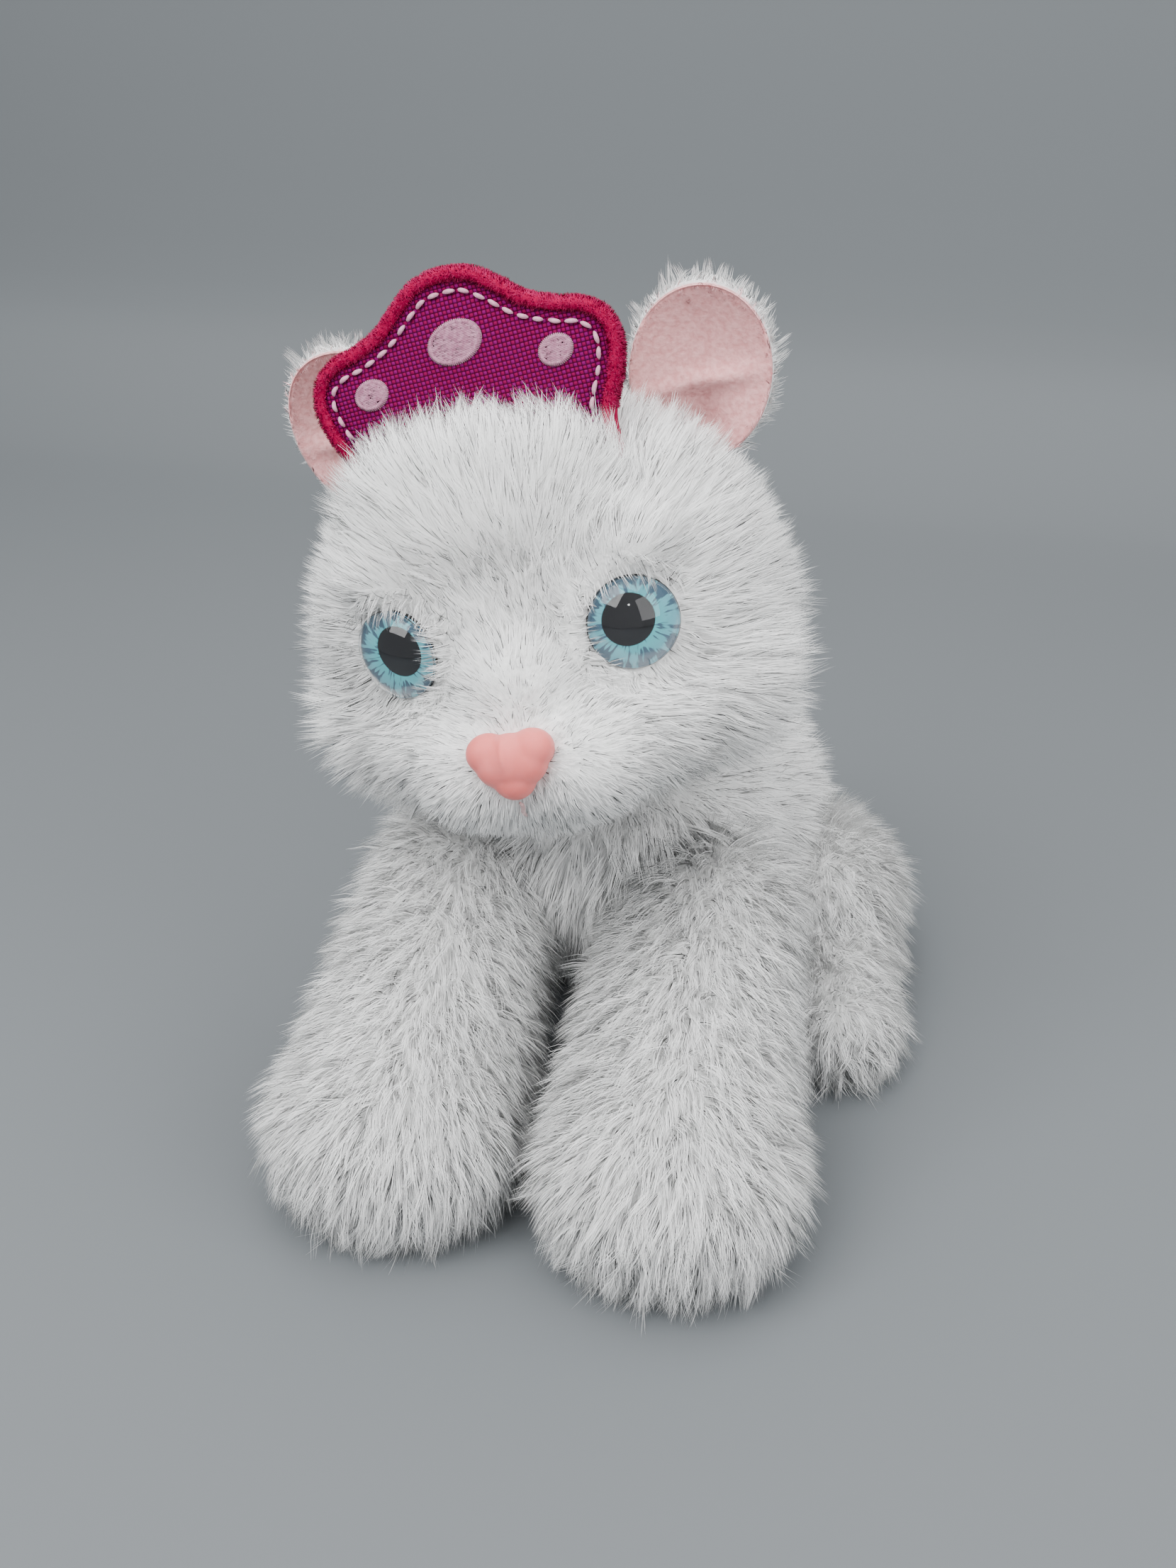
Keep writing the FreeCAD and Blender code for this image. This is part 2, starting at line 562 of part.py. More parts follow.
def sound_unit():
    cover, base = unit_case()
    frame, cone, magnet = speaker()
    cell_low = CASE_HALF - CASE_WALL - 0.4 - CELL_HEIGHT
    cells = [cylinder(CELL_RADIUS, cell_low, cell_low + CELL_HEIGHT, x, y) for x, y in cell_places()]
    board_back = BOARD_TOP + BOARD_THICKNESS
    contacts = []
    for x, y in cell_places():
        foot = block((x - 3.0, y - 1.2, board_back), (x + 3.0, y + 1.2, board_back + 0.4))
        riser = block((x + 2.6, y - 1.2, board_back + 0.4), (x + 3.0, y + 1.2, cell_low - 0.4))
        finger = block((x - 3.0, y - 1.2, cell_low - 0.4), (x + 3.0, y + 1.2, cell_low - SOFT_GAP))
        contacts.append(foot.fuse(riser).fuse(finger).removeSplitter())
    door = cylinder(DOOR_RADIUS, CASE_HALF - CASE_WALL, CASE_HALF)
    door_x, door_y = polar(DOOR_SCREW_RING, DOOR_SCREW_ANGLE)
    door = door.cut(screw_space(door_x, door_y, CASE_HALF, 6.0))
    screws = [screw(x, y, CASE_HALF, 7.0) for x, y in case_screw_places()]
    shapes = {
        "unit_cover": cover,
        "unit_base": base,
        "press_button": button(),
        "button_spring": button_spring(),
        "circuit_board": circuit_board(),
        "speaker_frame": frame,
        "speaker_cone": cone,
        "speaker_magnet": magnet,
        "button_cells": Part.makeCompound(cells),
        "battery_contacts": Part.makeCompound(contacts),
        "battery_door": door,
        "door_screw": screw(door_x, door_y, CASE_HALF, 5.0),
        "case_screws": Part.makeCompound(screws),
        "unit_pouch": pouch(),
    }
    return {name: placed(shape, UNIT) for name, shape in shapes.items()}


def pouch():
    """A thin cloth bag around the unit, open towards the flap."""
    outer = cylinder(CASE_RADIUS + 1.4, -CASE_HALF - 4.2, CASE_HALF + 0.6)
    return outer.cut(cylinder(CASE_RADIUS + 0.4, -CASE_HALF - 3.4, CASE_HALF + 1))


def pocket():
    """The facing around the pocket's mouth, the flap that closes it, and their hook and loop tapes."""
    width = POCKET_HALF_WIDTH - SOFT_GAP
    height = POCKET_HALF_HEIGHT - SOFT_GAP
    face_top = FACING_LEVEL + FACING_THICKNESS
    facing = block((-width, -height, FACING_LEVEL), (width, height, face_top))
    facing = facing.cut(block((-9, -6, 0), (9, 9, 30)))
    flap_half = POCKET_HALF_WIDTH - FLAP_MARGIN
    flap_end = POCKET_HALF_HEIGHT - FLAP_MARGIN
    flap = block((-flap_half, -flap_end, FLAP_BASE), (flap_half, flap_end, FLAP_BASE + FLAP_THICKNESS))
    loop = block((-12, -12.5, face_top), (12, -7.5, face_top + TAPE_THICKNESS))
    hook = block((-12, -12.5, FLAP_BASE - TAPE_THICKNESS), (12, -7.5, FLAP_BASE))
    outer = torso_form(0.0)
    shapes = {"pocket_facing": facing, "access_flap": flap, "loop_tape": loop, "hook_tape": hook}
    parts = {name: placed(shape, UNIT) for name, shape in shapes.items()}
    parts["pocket_facing"] = parts["pocket_facing"].common(outer)
    return parts


# ---- build --------------------------------------------------------------------------------------------

def joint_places():
    """Each joint's pivot and axis, in the modelling frame."""
    slide = UNIT.Rotation.multVec(Z_AXIS)
    places = {
        "neck_turn": (NECK, Z_AXIS),
        "head_nod": (NECK, X_AXIS),
        "front_leg_left_swing": (SHOULDER, -X_AXIS),
        "front_leg_right_swing": (Vector(-SHOULDER.x, SHOULDER.y, SHOULDER.z), -X_AXIS),
        "hind_leg_left_swing": (HIP, -X_AXIS),
        "hind_leg_right_swing": (Vector(-HIP.x, HIP.y, HIP.z), -X_AXIS),
        "tail_wag": (TAIL_ROOT, Z_AXIS),
        "button_press": (UNIT_CENTRE, slide),
        "access_flap_open": (UNIT.multVec(FLAP_HINGE), -X_AXIS),
    }
    for side, sign in (("left", 1), ("right", -1)):
        places[f"ear_{side}_fold"] = (ear_hinge(sign), ear_place(sign).Rotation.multVec(X_AXIS))
    return places


def main():
    os.makedirs("parts", exist_ok=True)
    parts = {}
    for group in (torso(), limbs(), head(), sound_unit(), pocket()):
        parts.update(group)
    whole = FreeCAD.BoundBox()
    for shape in parts.values():
        for point in shape.tessellate(BOX_TOLERANCE)[0]:
            whole.add(point)
    shift = Vector(-whole.Center.x, -whole.Center.y, -whole.ZMin)
    for name, shape in parts.items():
        shape.translate(shift)
        shape.exportStep(f"parts/{name}.step")
        closed = all(solid.isClosed() for solid in shape.Solids)
        print("PART", name, len(shape.Solids), round(shape.Volume, 1), shape.isValid(), closed)
    for name, (pivot, axis) in joint_places().items():
        at = pivot + shift
        print("JOINT", name, *(round(value, 4) for value in (*at, *axis)))
    print("SIZE", round(whole.XLength, 2), round(whole.YLength, 2), round(whole.ZLength, 2), "SHIFT", shift)


main()
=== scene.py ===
import json
import math

import bmesh
import bpy
import numpy as np
from mathutils import Matrix, Vector, geometry, noise
from mathutils.kdtree import KDTree

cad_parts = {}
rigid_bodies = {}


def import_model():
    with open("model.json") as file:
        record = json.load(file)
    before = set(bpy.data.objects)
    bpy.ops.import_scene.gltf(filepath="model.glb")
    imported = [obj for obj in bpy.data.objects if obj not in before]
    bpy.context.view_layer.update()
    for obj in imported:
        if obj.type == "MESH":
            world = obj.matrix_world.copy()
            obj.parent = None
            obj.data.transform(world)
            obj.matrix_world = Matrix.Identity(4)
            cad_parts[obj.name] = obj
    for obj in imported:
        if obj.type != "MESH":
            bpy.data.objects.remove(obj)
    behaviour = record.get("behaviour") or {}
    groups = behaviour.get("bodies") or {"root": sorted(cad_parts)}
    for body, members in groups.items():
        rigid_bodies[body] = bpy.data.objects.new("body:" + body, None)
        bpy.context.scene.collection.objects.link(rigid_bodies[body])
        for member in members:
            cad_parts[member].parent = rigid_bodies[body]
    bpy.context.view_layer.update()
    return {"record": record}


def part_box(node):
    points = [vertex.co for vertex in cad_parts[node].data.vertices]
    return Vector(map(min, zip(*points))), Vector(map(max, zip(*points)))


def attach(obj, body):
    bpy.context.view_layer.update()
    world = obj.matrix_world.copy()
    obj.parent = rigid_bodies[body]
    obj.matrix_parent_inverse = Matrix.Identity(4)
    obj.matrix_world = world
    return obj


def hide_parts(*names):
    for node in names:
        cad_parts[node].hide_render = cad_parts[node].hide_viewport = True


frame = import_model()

MM = 0.001
SEED = 20261
RANDOM = np.random.default_rng(SEED)
DENSITY = 1.0

# ---- places, from the frame ----

HEAD_YAW = math.radians(6)
HEAD_ROLL = math.radians(-12)


def centre_of(node):
    low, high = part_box(node)
    return (Vector(low) + Vector(high)) / 2


def joint(name):
    return next(item for item in frame["record"]["behaviour"]["joints"] if item["name"] == name)


def pivot(name):
    return Vector(joint(name)["pos_m"])


HEAD_TURN = Matrix.Rotation(HEAD_YAW, 4, "Z") @ Matrix.Rotation(HEAD_ROLL, 4, "Y")
HEAD = Matrix.Translation(centre_of("head_skin")) @ HEAD_TURN
NECK = pivot("neck_turn")
CHEST = Vector((0.0, pivot("front_leg_left_swing").y + 22 * MM, 66 * MM))
BELLY = Vector((0.0, pivot("front_leg_left_swing").y + 70 * MM, 41 * MM))
SIDES = (("left", 1), ("right", -1))


def in_head(x, y, z):
    """A point given in millimetres from the head's middle, along the head's own axes."""
    return HEAD @ Vector((x * MM, y * MM, z * MM))


# ---- meshes ----

def add_object(name, mesh):
    piece = bpy.data.objects.new(name, mesh)
    bpy.context.scene.collection.objects.link(piece)
    return piece


def make_smooth(mesh):
    for polygon in mesh.polygons:
        polygon.use_smooth = True


def mesh_from(build, name, matrix=None):
    """Turns an edited mesh into a smooth-shaded one, moved by a matrix."""
    if matrix is not None:
        build.transform(matrix)
    mesh = bpy.data.meshes.new(name)
    build.to_mesh(mesh)
    build.free()
    make_smooth(mesh)
    return mesh


def read_values(items, field, kind=float, width=3):
    values = np.empty(len(items) * width, dtype=kind)
    items.foreach_get(field, values)
    return values.reshape(-1, width)


def finder(points):
    """A nearest-point search over flat or solid points."""
    tree = KDTree(len(points))
    for index, point in enumerate(points):
        tree.insert((*point, 0)[:3], index)
    tree.balance()
    return tree


def apply_modifiers(piece):
    depsgraph = bpy.context.evaluated_depsgraph_get()
    mesh = bpy.data.meshes.new_from_object(piece.evaluated_get(depsgraph))
    old = piece.data
    piece.modifiers.clear()
    piece.data = mesh
    bpy.data.meshes.remove(old)
    make_smooth(mesh)


def blob(centre, semi, turn=None):
    """One ellipsoid of a soft form: its middle in metres, its half sizes in millimetres, and its turn."""
    matrix = Matrix.Translation(centre)
    if turn is not None:
        matrix = matrix @ turn
    return matrix @ Matrix.Diagonal((semi[0] * MM, semi[1] * MM, semi[2] * MM, 1.0))


def chain(start, end, start_radius, end_radius, steps=9):
    """Balls along a line whose radius changes evenly."""
    blobs = []
    for step in range(steps + 1):
        part = step / steps
        radius = start_radius + (end_radius - start_radius) * part
        blobs.append(blob(start.lerp(end, part), (radius, radius, radius)))
    return blobs


def soft_form(name, blobs, voxel=2.2, rounds=10, lumps=0.7, floor=1.0):
    """Blends ellipsoids into one smooth stuffed form, with slight lumps, flattened on the floor."""
    build = bmesh.new()
    for matrix in blobs:
        bmesh.ops.create_icosphere(build, subdivisions=4, radius=1.0, matrix=matrix)
    piece = add_object(name, mesh_from(build, name))
    remesh = piece.modifiers.new("blend", "REMESH")
    remesh.mode = "VOXEL"
    remesh.voxel_size = voxel * MM
    relax = piece.modifiers.new("relax", "SMOOTH")
    relax.factor = 0.5
    relax.iterations = rounds
    apply_modifiers(piece)
    for vertex in piece.data.vertices:
        push = noise.noise(vertex.co * 55.0) * 0.7 + noise.noise(vertex.co * 130.0) * 0.3
        vertex.co += vertex.normal * push * lumps * MM
        vertex.co.z = max(vertex.co.z, floor * MM)
    piece.data.update()
    return piece


# ---- materials ----

def start_material(name):
    material = bpy.data.materials.new(name)
    material.use_nodes = True
    nodes, links = material.node_tree.nodes, material.node_tree.links
    return material, nodes, links, nodes["Principled BSDF"]


def set_inputs(shader, roughness, sockets):
    shader.inputs["Roughness"].default_value = roughness
    for socket, value in sockets.items():
        shader.inputs[socket.replace("_", " ")].default_value = value


def plain(name, colour, roughness, **sockets):
    """A material of constant values, for pile, the clear domes and the floor."""
    material, _, _, shader = start_material(name)
    shader.inputs["Base Color"].default_value = (*colour, 1.0)
    set_inputs(shader, roughness, sockets)
    return material


def assign(piece, *materials):
    piece.data.materials.clear()
    for material in materials:
        piece.data.materials.append(material)


def fur_materials(name, colours, roughness=0.55, sheen=0.25):
    return [plain(f"{name}_{index + 1}", colour, roughness, Sheen_Weight=sheen, Sheen_Roughness=0.5)
            for index, colour in enumerate(colours)]


WHITE_FUR = fur_materials("white_fur", ((0.93, 0.93, 0.925), (0.90, 0.90, 0.895), (0.96, 0.96, 0.955),
                                        (0.88, 0.87, 0.76)))
# The fourth white tone is darker and yellowish; it goes on the legs' inner sides and between the front legs.
YELLOWISH_TONE = 3
# The second pink tone is painted shade that darkens the ear's hollow; the first and third are random tones of
# the pile.
PINK_FUR = fur_materials("pink_fur", ((0.90, 0.54, 0.56), (0.62, 0.21, 0.20), (0.92, 0.62, 0.63)), sheen=0.1)
RED_FUR = fur_materials("red_fur", ((0.40, 0.005, 0.085), (0.48, 0.008, 0.10), (0.33, 0.003, 0.066)),
                        sheen=0.0)


# ---- pile ----

def surface_points(piece, count):
    """Points spread evenly over a mesh, with their normals."""
    mesh = piece.data
    mesh.calc_loop_triangles()
    corners = read_values(mesh.loop_triangles, "vertices", np.int32)
    places = read_values(mesh.vertices, "co")
    normals = read_values(mesh.vertex_normals, "vector")
    a, b, c = (places[corners[:, index]] for index in range(3))
    areas = np.linalg.norm(np.cross(b - a, c - a), axis=1)
    chosen = RANDOM.choice(len(areas), size=count, p=areas / areas.sum())
    u, v = RANDOM.random((2, count))
    flip = u + v > 1
    u[flip], v[flip] = 1 - u[flip], 1 - v[flip]
    weights = np.stack([1 - u - v, u, v], axis=1)[:, :, None]
    points = (places[corners[chosen]] * weights).sum(axis=1)
    facing = (normals[corners[chosen]] * weights).sum(axis=1)
    return points, unit(facing)


def unit(vectors):
    return vectors / np.maximum(np.linalg.norm(vectors, axis=-1, keepdims=True), 1e-9)


def along_surface(directions, normals):
    return unit(directions - normals * (directions * normals).sum(axis=1, keepdims=True))


def nearest(points, others):
    tree = finder(others)
    return np.array([tree.find(point)[1] for point in points])


def strand_paths(roots, normals, comb, length, lift, lay, droop, segments):
    """Each strand leaves the surface at its lift angle and bends over to its lay angle, drooping a little."""
    points = [roots]
    for step in range(segments):
        part = (step + 0.5) / segments
        angle = (lift + (lay - lift) * part)[:, None]
        direction = normals * np.cos(angle) + comb * np.sin(angle)
        direction[:, 2] -= droop * part
        points.append(points[-1] + unit(direction) * (length / segments)[:, None])
    return np.stack(points, axis=1)


def grow_pile(name, body, roots, normals, comb, length, materials, width=0.26, lift=22, lay=62,
              droop=0.25, clump=0.5, jitter=0.3, crowd=12, segments=3, part_limit=36000, tone=None):
    """Grows clumped, tapering strands as thin ribbons, in pieces of at most part_limit strands."""
    count = len(roots)
    leaders = RANDOM.choice(count, size=max(1, int(count / crowd)), replace=False)
    leader_of = nearest(roots, roots[leaders])
    own = RANDOM.normal(size=(count, 3))
    group = RANDOM.normal(size=(len(leaders), 3))[leader_of]
    comb = along_surface(comb + own * jitter * 0.35 + group * jitter, normals)
    spread = RANDOM.normal(size=count)
    group_spread = RANDOM.normal(size=len(leaders))[leader_of]
    lift_angle = np.radians(lift) + spread * 0.10 + group_spread * 0.16
    lay_angle = np.radians(lay) + spread * 0.10 + group_spread * 0.16
    own_length = 0.10 * RANDOM.normal(size=count)
    length = length * (1 + own_length + 0.14 * RANDOM.normal(size=len(leaders))[leader_of])
    length = np.maximum(length, 0.4 * MM)
    paths = strand_paths(roots, normals, comb, length, lift_angle, lay_angle, droop, segments)
    lead = paths[leaders][leader_of]
    steps = np.linspace(0, 1, segments + 1)[None, :, None]
    gather = clump * steps ** 0.9
    offset = (roots - roots[leaders][leader_of])[:, None, :]
    paths = paths * (1 - gather) + (lead + offset * (1 - steps) * 0.8) * gather
    paths[:, :, 2] = np.maximum(paths[:, :, 2], 0.15 * MM)
    if tone is None:
        tone = RANDOM.integers(0, 3, size=count)
    tone = np.where(RANDOM.random(count) < 0.6, tone[leaders][leader_of], tone)
    pieces = []
    for start in range(0, count, part_limit):
        part = slice(start, min(start + part_limit, count))
        number = f"_{start // part_limit + 1}" if count > part_limit else ""
        pieces.append(ribbons(name + number, paths[part], normals[part], tone[part], width * MM))
    for piece in pieces:
        assign(piece, *materials)
        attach(piece, body)
    return pieces


def ribbons(name, paths, normals, tone, width):
    """One mesh of tapering ribbons along the paths, each ending in a point."""
    count, levels, _ = paths.shape
    direction = unit(np.gradient(paths, axis=1))
    twist = RANDOM.normal(size=(count, 1, 3)) * 0.55
    across = unit(np.cross(direction, normals[:, None, :] + twist))
    taper = (1 - np.linspace(0, 1, levels) ** 1.6) * width / 2
    taper = taper[None, :, None] * (0.75 + 0.5 * RANDOM.random((count, 1, 1)))
    left = (paths - across * taper)[:, :-1]
    right = (paths + across * taper)[:, :-1]
    pairs = levels - 1
    body_points = np.stack([left, right], axis=2).reshape(count, pairs * 2, 3)
    points = np.concatenate([body_points, paths[:, -1:]], axis=1)
    size = pairs * 2 + 1
    points[:, :, 2] = np.maximum(points[:, :, 2], 0.05 * MM)
    base = (np.arange(count) * size)[:, None]
    loops = []
    for step in range(pairs - 1):
        corner = step * 2
        loops.append(base + np.array([corner, corner + 1, corner + 3, corner + 2]))
    last = (pairs - 1) * 2
    loops.append(base + np.array([last, last + 1, last + 2]))
    order = np.concatenate(loops, axis=1).astype(np.int32)
    sizes = np.tile(np.array([4] * (pairs - 1) + [3], dtype=np.int32), count)
    starts = np.concatenate([[0], np.cumsum(sizes)[:-1]]).astype(np.int32)
    mesh = bpy.data.meshes.new(name)
    mesh.vertices.add(count * size)
    mesh.vertices.foreach_set("co", points.reshape(-1))
    mesh.loops.add(order.size)
    mesh.loops.foreach_set("vertex_index", order.reshape(-1))
    mesh.polygons.add(count * pairs)
    mesh.polygons.foreach_set("loop_start", starts)
    mesh.polygons.foreach_set("material_index", np.repeat(tone, pairs).astype(np.int32))
    mesh.polygons.foreach_set("use_smooth", np.ones(count * pairs, dtype=bool))
    mesh.update(calc_edges=True)
    mesh.validate()
    sideways = unit(np.cross(across[:, 0], direction[:, 0]))
    sideways *= np.sign((sideways * normals).sum(axis=1, keepdims=True))
    shading = unit(normals + sideways * 0.45)
    mesh.normals_split_custom_set_from_vertices(np.repeat(shading, size, axis=0))
    return add_object(name, mesh)


# ---- forms ----

def turner(axis):
    """Rotations about one axis, by an angle in degrees."""
    return lambda degrees: Matrix.Rotation(math.radians(degrees), 4, axis)


turn_x, turn_y, turn_z = (turner(axis) for axis in "XYZ")


def shift(x, y, z):
    return Matrix.Translation(Vector((x, y, z)) * MM)


EYES = {side: HEAD @ shift(sign * 23.5, -32.6, 6) @ turn_z(sign * 20) @ turn_x(86) for side, sign in SIDES}
EAR_ACROSS = {"left": 39, "right": -35}
EAR_WIDE, EAR_TALL = 15.6, 19.6
EARS = {side: HEAD @ shift(EAR_ACROSS[side], 12, 41) @ turn_y(sign * 15) for side, sign in SIDES}
TIARA = HEAD @ shift(-4, -8, 52.5) @ turn_y(-3.5) @ turn_x(-10)
NOSE = HEAD @ shift(0, -52.8, -11.2) @ turn_x(75)
NOSE_POINT = NOSE @ Vector((0, 0, 4 * MM))
UNIT = Matrix.Translation(Vector((0, pivot("front_leg_left_swing").y + 46 * MM, 27 * MM))) @ turn_x(135)
POCKET = (15.0, 14.0)
FACING_LEVEL = 13.2
FLAP_LEVEL = 17.7
EYE_RADIUS = 9.2


def head_pelt():
    turn = HEAD.to_3x3().to_4x4()

    def part(x, y, z, semi):
        return blob(in_head(x, y, z), semi, turn)
    blobs = chain(in_head(-7, 0, 0), in_head(7, 0, 0), 39, 39, steps=2)
    blobs += [part(0, -43, -13, (10, 12, 9)), part(0, -42, -19, (9, 12, 8)), part(0, -36, -25, (12, 11, 8)),
              part(0, -36, -4, (13, 12.5, 13))]
    for sign in (-1, 1):
        blobs.append(part(sign * 27, -12, -14, (19, 20, 17)))
        blobs.append(part(sign * 9, -41, -17, (13.5, 14, 12)))
        blobs.append(part(sign * 18, -29, -15, (14, 13.5, 13)))
        blobs.append(part(sign * 22, -28, 19, (11, 6.2, 5.5)))
    blobs += [part(-4, -19, 31, (27, 11, 11.5)), part(-3, -22, 23, (27, 12.5, 13))]
    piece = soft_form("head_pelt", blobs, rounds=10)
    sink_sockets(piece)
    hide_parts("head_skin", "muzzle_skin")
    return piece


def sink_sockets(piece):
    """Presses the form back behind each eye's printed disc, with a short slope round it."""
    for side, _ in SIDES:
        inverse = EYES[side].inverted()
        for vertex in piece.data.vertices:
            place = inverse @ vertex.co / MM
            gap = math.hypot(place.x, place.y)
            level = 0.9 + 1.6 * max(0.0, gap - EYE_RADIUS - 0.6)
            if gap < EYE_RADIUS + 5 and place.z > -12:
                place.z = min(place.z, level)
                vertex.co = EYES[side] @ (place * MM)
    piece.data.update()


def torso_pelt():
    shoulder = pivot("front_leg_left_swing")
    reach = Vector((7, 0, 0)) * MM
    length = Vector((0, 6.5, 0)) * MM
    blobs = chain(CHEST - reach, CHEST + reach, 29.5, 29.5, steps=2)
    blobs += chain(BELLY - length, BELLY + length, 42.3, 42.3, steps=2)
    blobs.append(blob((CHEST + BELLY) / 2 + Vector((0, 0, 4)) * MM, (37, 30, 30)))
    for sign in (-1, 1):
        blobs.append(blob(Vector((sign * 24 * MM, shoulder.y + 12 * MM, 58 * MM)), (15, 16, 17)))
    piece = soft_form("torso_pelt", blobs, rounds=10)
    cut_recess(piece)
    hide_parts("torso_skin")
    return piece


def cut_recess(piece):
    """The pocket's mouth in the belly."""
    build = bmesh.new()
    bmesh.ops.create_cube(build, size=1.0)
    wide, tall = POCKET
    size = Matrix.Diagonal((2 * wide * MM, 2 * tall * MM, 30 * MM, 1))
    mesh = mesh_from(build, "recess_space", UNIT @ shift(0, 0, FACING_LEVEL + 15) @ size)
    space = add_object("recess_space", mesh)
    cut = piece.modifiers.new("recess", "BOOLEAN")
    cut.operation = "DIFFERENCE"
    cut.object = space
    apply_modifiers(piece)
    bpy.data.objects.remove(space)
    bpy.data.meshes.remove(mesh)


def front_leg_pelt(side, sign):
    start = pivot(f"front_leg_{side}_swing")
    low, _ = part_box(f"front_leg_{side}_skin")
    paw = Vector((sign * 30.5 * MM, low[1] + 22.4 * MM, 21.4 * MM))
    blobs = chain(start, paw, 17.5, 23)
    blobs.append(blob(paw + Vector((sign * 1, -2, -1)) * MM, (25, 23.5, 20)))
    piece = soft_form(f"front_leg_{side}_pelt", blobs)
    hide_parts(f"front_leg_{side}_skin")
    return piece, start, paw


def hind_leg_pelt(side, sign):
    start = pivot(f"hind_leg_{side}_swing")
    low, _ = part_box(f"hind_leg_{side}_skin")
    paw = Vector((sign * 59 * MM, low[1] + 12 * MM, 11.2 * MM))
    blobs = chain(start, paw, 19.5, 12)
    blobs.append(blob(start + Vector((sign * 1, -10, 5)) * MM, (20, 26, 20)))
    blobs.append(blob(paw + Vector((0, 2, 1)) * MM, (13, 15, 11)))
    piece = soft_form(f"hind_leg_{side}_pelt", blobs)
    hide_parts(f"hind_leg_{side}_skin")
    return piece, start, paw


def tail_pelt():
    start = pivot("tail_wag")
    low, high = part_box("tail_skin")
    tip = Vector((low[0] + 10 * MM, high[1] - 10 * MM, 9.4 * MM))
    piece = soft_form("tail_pelt", chain(start, tip, 9, 10, steps=14))
    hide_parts("tail_skin")
    return piece, start, tip


def neck_pelt():
    turn = turn_x(22)
    piece = soft_form("neck_pelt", [blob(NECK + Vector((4, 3, -2)) * MM, (26, 22, 11.5), turn)])
    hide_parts("neck_stuffing")
    return piece


# ---- fur ----

def aim(matrix, x, y, z):
    """A direction along a frame's axes."""
    return np.array(matrix.to_3x3() @ Vector((x, y, z)))


def distances(points, place):
    return np.linalg.norm(points - np.array(place), axis=1)


def ramp(values, low, high):
    part = np.clip((values - low) / (high - low), 0, 1)
    return part * part * (3 - 2 * part)


def local(points, matrix):
    """World points in millimetres of a frame."""
    inverse = np.array(matrix.inverted())
    return (points @ inverse[:3, :3].T + inverse[:3, 3]) / MM


def facing_in(roots, normals, matrix):
    """How far each normal points back along a frame's depth axis."""
    return (local(roots + normals * MM, matrix) - local(roots, matrix))[:, 1]


def samples(piece, per_mm2):
    area = sum(polygon.area for polygon in piece.data.polygons) / MM ** 2
    return surface_points(piece, int(area * per_mm2 * DENSITY))


def head_fur(piece):
    """Pile combed away from the nose, short on the muzzle, parted at the eyes and the tiara's foot."""
    roots, normals = samples(piece, 5.0)
    at = local(roots, HEAD)
    from_nose = distances(roots, NOSE_POINT) / MM
    comb = roots - np.array(NOSE_POINT)
    comb[:, 2] -= 0.25 * np.abs(at[:, 0]) * MM
    comb = unit(comb)
    length = 2.8 + 6.0 * ramp(from_nose, 15, 46)
    length += 3.0 * ramp(np.abs(at[:, 0]), 28, 46) * ramp(-at[:, 2], -15, 8)
    keep = from_nose > 7.2
    for side, sign in SIDES:
        eye = local(roots, EYES[side])
        gap = np.linalg.norm(eye[:, :2], axis=1)
        front = eye[:, 2] > -12
        keep &= ~((gap < EYE_RADIUS + 0.3) & front)
        close = np.where(front, 1 - ramp(gap, 9, 19), 0)
        length = length * (1 - close * 0.6)
        away = unit(roots - np.array(EYES[side].translation))
        comb = unit(comb * (1 - close[:, None]) + away * close[:, None])
        above = (eye[:, 1] > 5) & (gap < 14) & front & (RANDOM.random(len(gap)) < 0.4)
        comb[above] = aim(HEAD, sign * 0.35, -0.6, -1)
        length[above] = 4.6
        inner = (eye[:, 0] * sign < -5) & (eye[:, 1] < 6) & (gap < 13) & front
        inner &= RANDOM.random(len(gap)) < 0.5
        comb[inner] = aim(HEAD, sign, -0.5, 0.35)
        length[inner] = 4.5
    foot = local(roots, TIARA)
    before = (np.abs(foot[:, 0]) < 31) & (foot[:, 1] < -3) & (foot[:, 1] > -9) & (foot[:, 2] < 5)
    comb[before] = aim(TIARA, 0, 0.1, 1)
    length[before] = 9.5
    inside = (np.abs(foot[:, 0]) < 30) & (np.abs(foot[:, 1]) < 2.8)
    keep &= ~inside
    return roots[keep], normals[keep], comb[keep], length[keep] * MM


def torso_comb(roots, normals):
    comb = np.zeros_like(roots)
    comb[:, 0] = roots[:, 0] * 6
    comb[:, 1] = 0.9 * ramp(roots[:, 1], CHEST.y - 22 * MM, CHEST.y + 5 * MM)
    comb[:, 2] = -0.75
    return unit(comb)


def limb_comb(start, end, drop=0.35):
    axis = np.array((end - start).normalized())

    def comb_of(roots, normals):
        comb = np.tile(axis, (len(roots), 1)) + normals * 0.2
        comb[:, 2] -= drop
        return unit(comb)
    return comb_of


